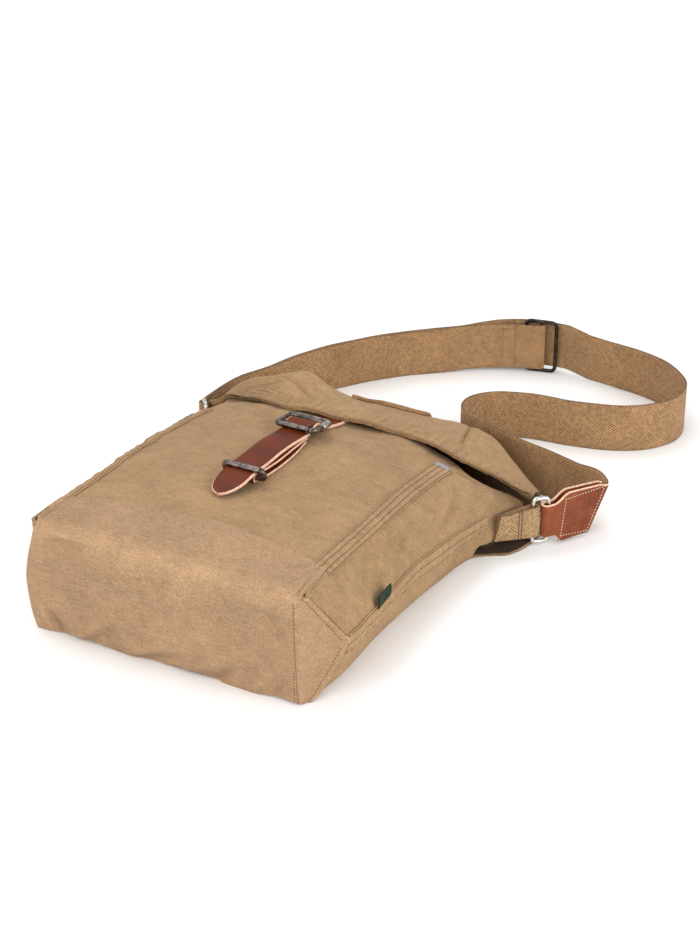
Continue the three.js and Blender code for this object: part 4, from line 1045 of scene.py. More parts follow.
def stitch_tree():
    """Geometry nodes that set one short thread after another along lines."""
    tree = bpy.data.node_groups.new("Stitches along lines", "GeometryNodeTree")
    sockets = tree.interface
    sockets.new_socket("Geometry", in_out="INPUT", socket_type="NodeSocketGeometry")
    for name in ("Pitch", "Length", "Radius"):
        sockets.new_socket(name, in_out="INPUT", socket_type="NodeSocketFloat")
    sockets.new_socket("Seed", in_out="INPUT", socket_type="NodeSocketInt")
    sockets.new_socket("Thread", in_out="INPUT", socket_type="NodeSocketMaterial")
    sockets.new_socket("Geometry", in_out="OUTPUT", socket_type="NodeSocketGeometry")
    given = add_node(tree, "NodeGroupInput").outputs
    line = add_node(tree, "GeometryNodeMeshToCurve", {"Mesh": given["Geometry"]})
    spaced = add_node(
        tree,
        "GeometryNodeResampleCurve",
        {"Curve": line.outputs["Curve"], "Length": given["Pitch"]},
        mode="LENGTH",
    )
    tangent = add_node(tree, "GeometryNodeInputTangent").outputs["Tangent"]
    jitter = add_node(
        tree,
        "FunctionNodeRandomValue",
        {"Min": (-0.12, -0.12, -0.12), "Max": (0.12, 0.12, 0.12), "Seed": given["Seed"]},
        data_type="FLOAT_VECTOR",
    )
    aim = add_node(
        tree, "ShaderNodeVectorMath", {0: tangent, 1: jitter.outputs[0]}, operation="ADD"
    )
    turned = add_node(
        tree, "FunctionNodeAlignRotationToVector", {"Vector": aim.outputs[0]}, axis="X"
    )
    half = add_node(tree, "ShaderNodeMath", {0: given["Length"], 1: 0.5}, operation="MULTIPLY")
    size = add_node(
        tree,
        "ShaderNodeCombineXYZ",
        {"X": half.outputs[0], "Y": given["Radius"], "Z": given["Radius"]},
    )
    bead = add_node(tree, "GeometryNodeMeshUVSphere", {"Segments": 6, "Rings": 5, "Radius": 1.0})
    # The sphere's poles point up, and the thread runs along X.
    laid = add_node(
        tree,
        "GeometryNodeTransform",
        {"Geometry": bead.outputs["Mesh"], "Rotation": (0, math.pi / 2, 0)},
    )
    placed = add_node(
        tree,
        "GeometryNodeInstanceOnPoints",
        {
            "Points": spaced.outputs["Curve"],
            "Instance": laid.outputs["Geometry"],
            "Rotation": turned.outputs["Rotation"],
            "Scale": size.outputs["Vector"],
        },
    )
    real = add_node(tree, "GeometryNodeRealizeInstances", {"Geometry": placed.outputs["Instances"]})
    coloured = add_node(
        tree,
        "GeometryNodeSetMaterial",
        {"Geometry": real.outputs["Geometry"], "Material": given["Thread"]},
    )
    add_node(tree, "NodeGroupOutput", {"Geometry": coloured.outputs["Geometry"]})
    return tree


def stitches(name, lines, thread, pitch=3.0, length=2.3, radius=0.28, seed=1):
    """Stitches along lines of points in millimetres."""
    tree = bpy.data.node_groups.get("Stitches along lines") or stitch_tree()
    points = np.concatenate(lines)
    edges, start = [], 0
    for line in lines:
        edges += [(start + i, start + i + 1) for i in range(len(line) - 1)]
        start += len(line)
    mesh = bpy.data.meshes.new(name + "_lines")
    mesh.from_pydata(place_in_frame(points).tolist(), edges, [])
    guide = new_object(name + "_lines", mesh)
    modifier = guide.modifiers.new("Stitches", "NODES")
    modifier.node_group = tree
    values = {
        "Pitch": pitch / 1000,
        "Length": length / 1000,
        "Radius": radius / 1000,
        "Seed": seed,
        "Thread": material(thread),
    }
    for item in tree.interface.items_tree:
        if item.in_out == "INPUT" and item.name in values:
            modifier[item.identifier] = values[item.name]
    bpy.context.view_layer.update()
    made = guide.evaluated_get(bpy.context.evaluated_depsgraph_get())
    mesh = bpy.data.meshes.new_from_object(made)
    mesh.name = name
    mesh.shade_smooth()
    bpy.data.objects.remove(guide)
    piece = new_object(name, mesh)
    if not len(mesh.polygons):
        raise RuntimeError(name + " came out with no stitches")
    return piece


def on_surface(piece, points, lift=0.0):
    """Points moved to the nearest place of a piece and lifted a little off it."""
    result = []
    for at in place_in_frame(points):
        found, place, normal, _ = piece.closest_point_on_mesh(at.tolist())
        if not found:
            raise RuntimeError("no surface of " + piece.name + " is near a stitch")
        place = np.array(place) * 1000 + np.array(normal) * lift
        result.append(place + (0, ORIGIN_FROM_BASE, 0))
    return np.array(result)


# The canvas pieces


def relax(points, faces, fixed, rounds):
    """Softens a surface by moving each point towards the middle of its neighbours."""
    edges = np.unique(
        np.sort(np.concatenate([faces[:, [i, (i + 1) % 4]] for i in range(4)]), axis=1), axis=0
    )
    for _ in range(rounds):
        total, count = np.zeros_like(points), np.zeros(len(points))
        for a, b in ((0, 1), (1, 0)):
            np.add.at(total, edges[:, a], points[edges[:, b]])
            np.add.at(count, edges[:, a], 1)
        moved = mix(points, total / count[:, None], 0.5)
        points = np.where(fixed[:, None], points, moved)
    return points


def base_face(u, v):
    """The swollen base face: shares across it from the left and up it from the floor."""

    def rim(column):
        x, z = outline(column, 0.0)
        return np.stack([x, z], axis=-1)

    bottom = rim(mix(FLOOR_LEFT, FLOOR_RIGHT, u))
    top = rim(mix(0, FRONT_RIGHT, u))
    left = rim(mix(FLOOR_LEFT, ALL_COLUMNS - 1e-9, v))
    right = rim(mix(FLOOR_RIGHT, FRONT_RIGHT, v))
    u, v = u[..., None], v[..., None]
    corners = rim(np.array([FLOOR_LEFT, FLOOR_RIGHT, 0.0, FRONT_RIGHT]))
    flat = (1 - v) * bottom + v * top + (1 - u) * left + u * right
    flat = flat - (1 - u) * (1 - v) * corners[0] - u * (1 - v) * corners[1]
    flat = flat - (1 - u) * v * corners[2] - u * v * corners[3]
    x, z = flat[..., 0], flat[..., 1]
    u, v = u[..., 0], v[..., 0]
    swell = (1 - (2 * u - 1) ** 2) * (1 - (2 * v - 1) ** 2)
    inside = smooth(np.minimum(np.minimum(u, 1 - u) * 12, np.minimum(v, 1 - v) * 7 + 0.35))
    names = ("from_x", "from_z", "to_x", "to_z")
    relief = creases(BASE_CREASES, names, x, z) + ripple(x, z, 21, 46, 0.5)
    relief = relief + ripple(x, z, 23, 14, 0.14)
    return np.stack([x, -BASE_BULGE * swell - 1.8 * relief * inside, z], axis=-1)


def build_base_panel():
    across, up, turned = 120, 48, 18
    u, v = np.meshgrid(np.linspace(0, 1, across + 1), np.linspace(0, 1, up + 1))
    face = base_face(u, v)
    index = np.arange(face.shape[0] * face.shape[1]).reshape(face.shape[:2])
    # The rim in the order of the columns: over the top, down the right, back below, up the left.
    rim = np.concatenate([index[up, :-1], index[:0:-1, across], index[0, :0:-1], index[:-1, 0]])
    columns = np.concatenate(
        [
            np.linspace(0, FRONT_RIGHT, across, endpoint=False),
            np.linspace(FRONT_RIGHT, FLOOR_RIGHT, up, endpoint=False),
            np.linspace(FLOOR_RIGHT, FLOOR_LEFT, across, endpoint=False),
            np.linspace(FLOOR_LEFT, ALL_COLUMNS, up, endpoint=False),
        ]
    )
    limit = base_limit(columns)
    rings, rim_index = [], [rim]
    count = face.shape[0] * face.shape[1]
    on_side = (columns > FRONT_RIGHT) & (columns < FLOOR_RIGHT) | (columns > FLOOR_LEFT)
    shares = 1 - (1 - np.linspace(0, 1, turned + 1)) ** 1.5
    for r, share in enumerate(shares[1:], 1):
        # A corded ridge runs along the seams of the boxed corners.
        cord = np.exp(-(((limit * (1 - share) - 1.3) / 1.0) ** 2))
        lift = 1.1 * smooth((share - 0.5) / 0.4) + np.where(on_side, 1.5 * cord, 0)
        rings.append(skin(columns, share * limit, lift))
        rim_index.append(count + (r - 1) * len(rim) + np.arange(len(rim)))
    points = np.concatenate([face.reshape(-1, 3), *rings])
    # The lower edge is wavy, and lies on the floor only here and there.
    x, y, z = points.T
    wave = np.clip(ripple(x, 0 * x, 41, 62, 1.3) + 0.2, 0, 2)
    points[:, 2] += wave * np.exp(-((y / 9) ** 2)) * np.exp(-z / 12)
    faces = [grid_faces(*face.shape[:2])]
    for low, high in zip(rim_index[:-1], rim_index[1:]):
        faces.append(np.stack([low, np.roll(low, -1), np.roll(high, -1), high], axis=-1))
    faces = np.concatenate(faces)
    fixed = np.zeros(len(points), bool)
    for ring_index in rim_index[-6:]:
        fixed[ring_index] = True
    fixed |= points[:, 2] <= 0
    points = relax(points, faces, fixed, 3)
    # Flat places: the face as seen from outside, and the strips unrolled from its rim.
    facing = face.reshape(-1, 3)[rim][:, [0, 2]]
    out = facing - (0, BODY_DEPTH / 2)
    out = np.where(np.abs(out[:, :1]) > BASE_HALF * 0.93, out * (1, 0), out * (0, 1))
    out = out / np.maximum(np.linalg.norm(out, axis=1, keepdims=True), 1e-6)
    flat = [face.reshape(-1, 3)[:, [0, 2]]]
    for share in shares[1:]:
        flat.append(facing + out * (limit * share)[:, None])
    # The fold between the base and the front is rubbed pale.
    from_fold = np.hypot(points[:, 1] - 3, points[:, 2] - BODY_DEPTH * 0.93)
    rubbed = 0.5 * np.exp(-((from_fold / 8) ** 2)) - 0.05
    panel = cloth(
        "base_panel_cloth",
        points,
        faces,
        np.concatenate(flat) / 1000,
        1.3,
        [material("base")],
        rubbed=rubbed,
    )
    take(panel, "base_canvas", "base_panel")
    base_stitches(panel)


def base_stitches(panel):
    """Rows of stitches along the base panel's seams and its boxed corners."""
    rows = []
    for side in (1, -1):
        column = np.linspace(FRONT_RIGHT + 0.25, SEAM_RIGHT - 0.2, 40)
        column = column if side > 0 else ALL_COLUMNS + FRONT_RIGHT - column
        rows.append(skin(column, np.maximum(base_limit(column) - 3.6, 1), 0.9))
        column = np.linspace(SEAM_RIGHT + 0.3, FLOOR_RIGHT - 0.7, 30)
        column = column if side > 0 else FLOOR_LEFT + FLOOR_RIGHT - column
        rows.append(skin(column, np.maximum(base_limit(column) - 3.6, 1), 0.9))
    height = np.linspace(3, BODY_DEPTH - 6, 60)
    rows.append(np.stack([mix(95.5, 92.5, height / BODY_DEPTH), 0 * height - 3, height], axis=-1))
    height = np.linspace(3, 24, 20)
    rows.append(np.stack([0 * height + 93, 0 * height - 3, height], axis=-1))
    lines = [on_surface(panel, row, -0.02) for row in rows]
    trim(stitches("base_stitches", lines, "dark_thread", 2.3, 1.8, 0.34, 2))
    column = np.linspace(0.3, FRONT_RIGHT - 0.3, 60)
    line = [on_surface(panel, skin(column, base_limit(column) - 1.2, 0.4), -0.12)]
    trim(stitches("base_edge_stitches", line, "thread", 2.5, 1.7, 0.22, 3))
    column = np.linspace(SEAM_RIGHT - 0.2, SEAM_RIGHT + 0.1, 5)
    knot = on_surface(panel, skin(column, BASE_CORNER_REACH - 0.5, 1.5), 0.2)
    trim(stitches("corner_knot", [knot], "pale_thread", 0.9, 2.0, 0.5, 4))


# Where the panels end at the mouth, by column. The front goes on under the fold. At the right its
# edge sags away from the fold, and the bag stands open.
PANEL_ENDS = (
    (0, 285),
    (5.5, 285),
    (7, 266),
    (8.5, 252),
    (11.4, 251),
    (12, 247),
    (12.5, 241),
    (13, 238.5),
    (13.5, 238.5),
    (14, 241),
    (14.5, 246),
    (15, 249.5),
    (16, 252),
    (28, 252),
    (28.1, 262),
    (32, 262),
)


def panel_end(column):
    """How far along the bag a canvas panel runs."""
    return read_pairs(PANEL_ENDS, np.mod(column, ALL_COLUMNS))


PANELS_APART = 0.02
PANEL_TUCK = 4
TUCK_DEPTH = 1.6


def panel_grid(from_column, to_column, columns, rows):
    """A canvas panel's outer face. It is tucked under the base panel's edge at its start."""
    from_column, to_column = from_column + PANELS_APART, to_column - PANELS_APART
    column = np.linspace(from_column, to_column, columns + 1)[None, :]
    share = np.linspace(0, 1, rows + 1)[:, None]
    start = np.maximum(base_limit(column) - PANEL_TUCK, 3)
    y = mix(start, panel_end(column), share)
    under = -TUCK_DEPTH * (1 - smooth((y - base_limit(column) - 0.3) / 1.8))
    return skin(column, y, under)


# The panels without the painted inside shade: the columns each runs between, and its faces across and
# along
PLAIN_PANELS = (
    ("front_panel", 0, FRONT_RIGHT, 140, 160),
    ("side_panel_right", FRONT_RIGHT, SEAM_RIGHT, 60, 170),
    ("side_panel_left", SEAM_LEFT, ALL_COLUMNS, 36, 120),
)
# Where the back panel takes the painted shade of the bag's inside: how deep in the hollow, and from how
# far along.
PAINTED_SHADE_FROM_DEPTH = HOLLOW_DEPTH * 0.16
PAINTED_SHADE_FROM_Y = OPEN_SIDE_FROM + 3


def build_body_panels():
    canvas = material("canvas")
    for name, from_column, to_column, across, along in PLAIN_PANELS:
        grid = panel_grid(from_column, to_column, across, along)
        take(cloth_grid(name + "_cloth", grid, CANVAS_WALL, canvas), "body_canvas", name)
    across, along = 176, 130
    grid = panel_grid(SEAM_RIGHT, SEAM_LEFT, across, along)
    # The open side's hollow and the inside of the floor behind it are coloured dark brown: painted shade
    # for the shadowed inside of the bag.
    column = np.linspace(SEAM_RIGHT, SEAM_LEFT, across)[None, :]
    y = (grid[:-1, :1, 1] + grid[1:, :1, 1]) / 2
    hollow = -side_mouth(column, y) > PAINTED_SHADE_FROM_DEPTH
    painted_shade_floor = (column > FLOOR_RIGHT) & (column < FLOOR_RIGHT + 3) & (y > PAINTED_SHADE_FROM_Y)
    slots = np.where(hollow | painted_shade_floor, 1, 0).ravel()
    faces = grid_faces(*grid.shape[:2])
    looks = [canvas, material("inside_shade")]
    back = cloth("back_panel_cloth", grid, faces, grid_flat(grid), CANVAS_WALL, looks, slots)
    take(back, "body_canvas", "back_panel")


# Felled seams: the column each follows, its widths in columns on each side, where it starts and
# ends along the bag, and how many rows of stitches it has
FRONT_SEAM_TO = BODY_LENGTH - FRONT_SEAM_ENDS
SIDE_SEAM_TO = 0.84 * BODY_LENGTH
SEAMS = (
    ("front_seam_right", FRONT_RIGHT, 0.55, 0.35, BASE_STRIP - 1, FRONT_SEAM_TO, 4),
    ("front_seam_left", ALL_COLUMNS, 0.62, 0.34, BASE_STRIP - 1, FRONT_SEAM_TO, 4),
    ("side_seam_right", SEAM_RIGHT, 0.3, 0.8, BASE_CORNER_REACH - 1, SIDE_SEAM_TO, 3),
    ("side_seam_left", SEAM_LEFT, 0.8, 0.3, BASE_CORNER_REACH - 1, SIDE_SEAM_TO, 3),
)
SEAM_EDGE_RISE = 0.6
SEAM_GROOVE = 0.62


def build_seams():
    lines = []
    for number, (name, column, before, after, start, end, rows) in enumerate(SEAMS):
        across = np.linspace(-before, after, 46)[None, :]
        y = np.linspace(start, end, 230)[:, None]
        share = (across + before) / (before + after)
        marks = np.linspace(0.1, 0.9, rows)
        edge = smooth(np.minimum(share, 1 - share) / 0.06)
        height = SEAM_EDGE_RISE + SEAM_BAND_THICK * edge
        for mark in marks:
            height = height - SEAM_GROOVE * np.exp(-(((share - mark) / 0.04) ** 2))
        pucker = 0.2 * np.sin(y / 1.5 + 3 * share + ripple(y, share, 31 + number, 30, 1.5))
        tail = smooth((y - start) / 3) * smooth((end - y) / 3)
        grid = skin(column + across, y, (height + pucker) * mix(0.3, 1, tail))
        seam = cloth_grid(name + "_cloth", grid, SEAM_BAND_THICK, material("canvas"))
        take(seam, "body_canvas", name)
        for mark in marks:
            place = column - before + mark * (before + after)
            row = skin(place, np.linspace(start + 2, end - 1, 110), 1.1)
            lines.append(on_surface(seam, row, -0.02))
    trim(stitches("seam_stitches", lines, "dark_thread", 2.5, 2.2, 0.4, 7))
    seam_details()


def seam_details():
    """The bartack at the right front seam's end, a short row at the mouth on the right, and the row of
    dark thread sunk in front of the base panel's edge, set nearly end to end so that it also paints the
    seam's shadow line."""
    knots = []
    for step in range(9):
        y = FRONT_SEAM_TO - 3.5 + step * 0.65
        across = np.linspace(-0.36, 0.1, 6) + 0.04 * math.sin(step * 2.3)
        knots.append(skin(FRONT_RIGHT + across, y, 1.7 + 0.5 * math.sin(step * 0.4)))
    trim(stitches("bartacks", knots, "bartack", 1.5, 2.4, 0.5, 9))
    short = skin(FRONT_RIGHT + np.linspace(0.5, 1.5, 12), BODY_LENGTH - 19, 0.25)
    trim(stitches("mouth_stitches", [short], "dark_thread", 2.4, 1.8, 0.3, 11))
    # Dark thread set nearly end to end: topstitching, and painted shadow for the line along the base
    # panel's edge.
    column = np.linspace(0.5, FRONT_RIGHT - 0.6, 130)
    beside_base = skin(column, base_limit(column) + 0.8, -0.9)
    stitched_shadow_line = stitches("base_edge_stitches", [beside_base], "dark_thread", 2.3, 2.25, 0.6, 13)
    trim(stitched_shadow_line)


def build_folded_top():
    canvas = material("canvas")
    across = np.linspace(FOLD_SECTIONS["across"][0], FOLD_SECTIONS["across"][-1], 300)[:, None]
    share = np.linspace(0, HEM_SHARE + 0.01, 120)[None, :]
    top = cloth_grid("folded_top_cloth", fold_skin(across, share), FOLD_WALL, canvas)
    take(top, "body_canvas", "folded_top")
    share = np.linspace(HEM_SHARE - 0.012, 1.0, 56)[None, :]
    along = (share - HEM_SHARE) / (1 - HEM_SHARE)
    marks = (0.08, 0.26, 0.44, 0.62, 0.8, 0.94)
    height = 0.5 + 1.1 * smooth(along / 0.06) * smooth((1.04 - along) / 0.12)
    for mark in marks:
        height = height - 0.55 * np.exp(-(((along - mark) / 0.035) ** 2))
    length = across * MOUTH_HALF
    height = height + 0.24 * np.sin(length / 1.1 + 9 * share) * np.sin(length / 7 + 4)
    hem = cloth_grid("folded_top_hem_cloth", fold_skin(across, share, height), HEM_WALL, canvas)
    take(hem, "body_canvas", "folded_top_hem")
    lines = []
    ends = FOLD_SECTIONS["across"][[0, -1]]
    for mark in marks:
        place = np.linspace(ends[0] + 0.01, ends[1] - 0.01, 150)
        row = fold_skin(place, mix(HEM_SHARE, 1, mark), 1.3)
        lines.append(on_surface(hem, row, -0.02))
    trim(stitches("hem_stitches", lines, "dark_thread", 2.3, 1.8, 0.24, 15))


def build_hang_loop():
    to = HANG_LOOP_FROM + HANG_LOOP_LENGTH / MOUTH_HALF
    across = np.linspace(HANG_LOOP_FROM, to, 70)
    back, front = HANG_LOOP_PROFILE
    share = np.linspace(back, front, 22)
    lift = 2 * PIECE_GAP + HANG_LOOP_THICK
    grid = fold_skin(across[:, None], share[None, :], lift)
    loop = cloth_grid("hang_loop_webbing", grid, HANG_LOOP_THICK, material("webbing"))
    take(loop, "webbing", "hang_loop")
    rows = []
    for end in (across[4], across[-5]):
        rows.append(fold_skin(np.full(12, end), np.linspace(back + 0.01, front - 0.01, 12), lift))
    lines = [on_surface(loop, row, 0.05) for row in rows]
    trim(stitches("hang_loop_stitches", lines, "thread", 2.4, 1.8, 0.3, 17))


def build_side_label():
    y = LABEL_ALONG * BODY_LENGTH + np.linspace(-0.5, 0.5, 30)[:, None] * LABEL_LENGTH * 0.72
    root = skin(SEAM_RIGHT - 0.2, y, 1.6)
    up = np.linspace(0, 1, 14)[None, :, None]
    ripples = 0.7 * np.sin(up * 3) * np.sin(y / 3)[..., None]
    grid = root + up * LABEL_STANDS * (UP + 0.05 * ACROSS) + ripples * ACROSS
    label = cloth_grid("side_label_cloth", grid, 1.0, material("label"))
    take(label, "label_cloth", "side_label")


# The leather closure

HOLDER_TURN = KEEPER_WIRE / 2 + PIECE_GAP + HOLDER_THICK / 2
KEEPER_LOW = PIECE_GAP + HOLDER_THICK / 2 + HOLDER_TURN
TONGUE_AT_KEEPER = KEEPER_LOW + HOLDER_TURN + HOLDER_THICK / 2 + PIECE_GAP + CLOSURE_THICK / 2
HOLDER_TOP = 2 * (PIECE_GAP + HOLDER_THICK)
STRAP_OVER_HOLDER = HOLDER_TOP + PIECE_GAP + CLOSURE_THICK / 2
BUCKLE_LIFT = STRAP_OVER_HOLDER + CLOSURE_THICK / 2 + PIECE_GAP + BUCKLE_WIRE / 2
BUCKLE_BAR_LIFT = BUCKLE_LIFT - BUCKLE_WIRE / 2 - PIECE_GAP - BUCKLE_BAR / 2


def smooth_rows(rows, count):
    """Values between rows, evenly by row number."""
    numbers = {"row": np.arange(len(rows), dtype=float)}
    columns = np.array(rows, float).T
    place = np.linspace(0, len(rows) - 1, count)
    result = []
    for i, column in enumerate(columns):
        numbers[str(i)] = column
        result.append(read_table(numbers, "row", place, str(i)))
    return result


CLOSURE_SWAY = table(
    ("along", "right"),
    (TONGUE_TIP_Y, 1.6),
    (KEEPER_Y, 4.2),
    (mix(KEEPER_Y, BUCKLE_Y, 0.45), 2.4),
    (BUCKLE_Y, 0),
)


def closure_x(y):
    """The closure's middle line sways to the right between its buckle and its tip."""
    return CLOSURE_X + read_table(CLOSURE_SWAY, "along", y, "right")


def leather_strap(name, y, lift, half, thick):
    places = np.stack([closure_x(y), y, front_height(y) + lift], axis=-1)
    return strap(name, places, ACROSS, half, thick, [material("closure"), material("edge")], 12)


# The tip reaches this far past the model's own.
TIP_PAST = 4


def build_closure_strap():
    half = CLOSURE_WIDTH / 2
    under = PIECE_GAP + CLOSURE_THICK / 2
    hump = BUCKLE_BAR_LIFT + BUCKLE_BAR / 2 + PIECE_GAP + CLOSURE_THICK / 2
    end = BUCKLE_LENGTH / 2
    rows = [
        (BODY_LENGTH - 6, under),
        (BUCKLE_Y + end + 8, under + 0.4),
        (BUCKLE_Y + end, STRAP_OVER_HOLDER - 0.4),
        (BUCKLE_Y + 3, hump),
        (BUCKLE_Y - 3, hump),
        (BUCKLE_Y - end, STRAP_OVER_HOLDER),
        (BUCKLE_Y - end - 10, STRAP_OVER_HOLDER + 0.2),
        (mix(BUCKLE_Y, KEEPER_Y, 0.5), TONGUE_AT_KEEPER - 1.2),
        (KEEPER_Y + 14, TONGUE_AT_KEEPER - 0.6),
        (KEEPER_Y, TONGUE_AT_KEEPER),
        (KEEPER_Y - 8, TONGUE_AT_KEEPER - 1),
        (mix(TONGUE_TIP_Y, KEEPER_Y, 0.4), TONGUE_AT_KEEPER - 3),
        (TONGUE_TIP_Y - TIP_PAST, under + 0.9),
    ]
    y, lift = smooth_rows(rows, 220)
    # The tip is a rounded point.
    from_tip = np.clip((y - TONGUE_TIP_Y + TIP_PAST) / 22, 0, 1)
    width = half * np.clip(np.sqrt(1 - (1 - from_tip) ** 2.4), 0.005, 1)
    tongue = leather_strap("closure_strap_leather", y, lift, width, CLOSURE_THICK)
    take(tongue, "strap_leather", "closure_strap")
    return tongue


def build_closure_holder():
    keeper_z = front_height(KEEPER_Y) + KEEPER_LOW
    low = PIECE_GAP + HOLDER_THICK / 2
    end = BUCKLE_Y - BUCKLE_LENGTH / 2 - 4

    def lay(y, lift):
        return (y, float(front_height(y)) + lift)

    rows = [lay(end, low), lay(mix(end, KEEPER_Y, 0.35), low), lay(mix(end, KEEPER_Y, 0.7), low)]
    rows.append(lay(KEEPER_Y + 4, low))
    for degrees in (-90, -110, -130, -155, -180, -205, -230, -250, -270):
        turn = math.radians(degrees)
        rows.append((KEEPER_Y + HOLDER_TURN * math.cos(turn), keeper_z + HOLDER_TURN * math.sin(turn)))
    rows.append(lay(KEEPER_Y + 8, KEEPER_LOW + HOLDER_TURN - 0.4))
    rows.append(lay(mix(end, KEEPER_Y, 0.62), low + HOLDER_THICK + 1.7))
    rows.append(lay(mix(end, KEEPER_Y, 0.3), low + HOLDER_THICK + 1.5))
    rows.append(lay(end + 2, low + HOLDER_THICK + PIECE_GAP))
    y, z = smooth_rows(rows, 180)
    # Between the buckle and the keeper both layers lie out to the right, the lower one more.
    share = np.clip((y - KEEPER_Y) / (end - KEEPER_Y), 0, 1)
    layer = smooth((z - front_height(y) - low - 1) / 2)
    out = mix(3.6, 1.8, layer) * np.sin(np.pi * share) - 0.8 * (1 - smooth(share * 6))
    places = np.stack([closure_x(y) + out, y, z], axis=-1)
    looks = [material("closure"), material("edge")]
    holder = strap(
        "closure_holder_leather", places, ACROSS, CLOSURE_WIDTH / 2 - 0.8, HOLDER_THICK, looks, 10
    )
    take(holder, "strap_leather", "closure_holder")


def build_closure_metal():
    antique = material("antique")
    low = front_height(KEEPER_Y) + KEEPER_LOW
    rise = KEEPER_RISE - 1.1
    # The loop leans towards the strap's tip, about its lower wire.
    upwards = unit(np.array([0, -0.35, 1]))
    middle = (float(closure_x(KEEPER_Y)) + 1.2, KEEPER_Y - 0.16 * rise, low + 0.46 * rise)

    def heavier_on_top(out):
        return 1.1 + 0.6 * max(0.0, float(out @ UP))

    keeper = wire_loop(
        "closure_keeper_metal",
        middle,
        ACROSS,
        upwards,
        KEEPER_SPAN - 1,
        rise,
        rise / 2 - 0.2,
        KEEPER_WIRE,
        antique,
        heavier_on_top,
    )
    take(keeper, "dark_metal", "closure_keeper")
    end = BUCKLE_LENGTH / 2
    rise = front_height(BUCKLE_Y + end) - front_height(BUCKLE_Y - end)
    lengthways = unit(np.array([0, BUCKLE_LENGTH, rise]))
    middle = np.array([CLOSURE_X, BUCKLE_Y, front_height(BUCKLE_Y) + BUCKLE_LIFT])

    def heavier_in_front(out):
        return 0.96 + 0.4 * max(0.0, -float(out @ lengthways))

    buckle = wire_loop(
        "buckle_frame_metal",
        middle,
        ACROSS,
        lengthways,
        BUCKLE_SPAN,
        BUCKLE_LENGTH,
        4,
        BUCKLE_WIRE,
        antique,
        heavier_in_front,
    )
    take(buckle, "dark_metal", "buckle_frame")
    reach = BUCKLE_SPAN / 2 + BUCKLE_WIRE / 2
    height = front_height(BUCKLE_Y) + BUCKLE_BAR_LIFT
    rod = round_bar(
        "buckle_bar_metal",
        (CLOSURE_X - reach, BUCKLE_Y, height),
        (CLOSURE_X + reach, BUCKLE_Y, height),
        BUCKLE_BAR,
        antique,
    )
    take(rod, "dark_metal", "buckle_bar")
    buckle_details(middle, lengthways, antique)


def buckle_details(middle, lengthways, antique):
    """A second bar behind the first, a sleeve on one side and a knuckle at the front corner."""
    facing = np.cross(ACROSS, lengthways)
    half = BUCKLE_SPAN / 2 - BUCKLE_WIRE * 0.4
    inner = middle + lengthways * (BUCKLE_LENGTH / 2 - 5) + facing * 0.5
    second = round_bar(
        "buckle_second_bar", inner - ACROSS * half, inner + ACROSS * half, 1.8, antique
    )
    trim(second)
    side = middle + ACROSS * BUCKLE_SPAN / 2
    sleeve = round_bar(
        "buckle_sleeve",
        side - lengthways * 1.5,
        side + lengthways * (BUCKLE_LENGTH / 2 - 3.2),
        BUCKLE_WIRE + 1.5,
        material("worn"),
    )
    trim(sleeve)
    corner = middle + ACROSS * (BUCKLE_SPAN / 2 - 4.6) - lengthways * BUCKLE_LENGTH / 2
    knuckle = wire_loop(
        "buckle_knuckle", corner, lengthways, facing, 6.6, 6.6, 3.2, 1.7, antique
    )
    trim(knuckle)


# Rings, tabs and the shoulder strap


def beside_seam(side, before_mouth, out):
    y = BODY_LENGTH - before_mouth
    x, _ = outline(SEAM_RIGHT if side > 0 else SEAM_LEFT, min(y, BODY_LENGTH))
    return np.array([float(x) + side * out, y, RING_HEIGHT])


def ring_place(ring):
    turn = math.radians(ring["turn"])
    outwards = np.array([math.cos(turn), math.sin(turn), 0])
    middle = beside_seam(ring["side"], ring["before_mouth"], ring["out"])
    half = outwards * RING_SPREAD / 2
    return {"outwards": outwards, "middle": middle, "inner": middle - half, "outer": middle + half}


def loop_round(centre, away, length, radius, closing, halves, tilt, slack, past=0.0, bow=0.0):
    """Places, across directions and half widths of a band that turns round an upright bar. Its
    first layer can reach past the other's end, and both can bow to one side."""
    side = np.array([-away[1], away[0], 0])
    turn_centre = centre - away * slack
    places, across, half = [], [], []

    def station(share, sign):
        apart = side * sign * mix(radius, closing, share)
        bowed = side * bow * math.sin(math.pi * min(share, 1))
        places.append(centre + away * length * share + apart + bowed)
        across.append(mix(UP, tilt, share))
        half.append(mix(halves[0], halves[1], share))

    for share in np.linspace(1 + past, 0.04, 28):
        station(share, -1)
    for turn in np.linspace(0, math.pi, 14):
        out = side * math.cos(turn) + away * math.sin(turn)
        places.append(turn_centre - out * radius)
        across.append(UP)
        half.append(halves[0])
    for share in np.linspace(0.04, 1, 26):
        station(share, 1)
    return np.array(places), np.array(across), np.array(half)


def build_rings():
    for name, ring in (("ring_right", RING_RIGHT), ("ring_left", RING_LEFT)):
        place = ring_place(ring)
        metal = wire_loop(
            name + "_metal",
            place["middle"],
            UP,
            place["outwards"],
            RING_INSIDE + RING_WIRE,
            RING_SPREAD,
            3,
            RING_WIRE,
            material("nickel"),
        )
        take(metal, "bright_metal", name)


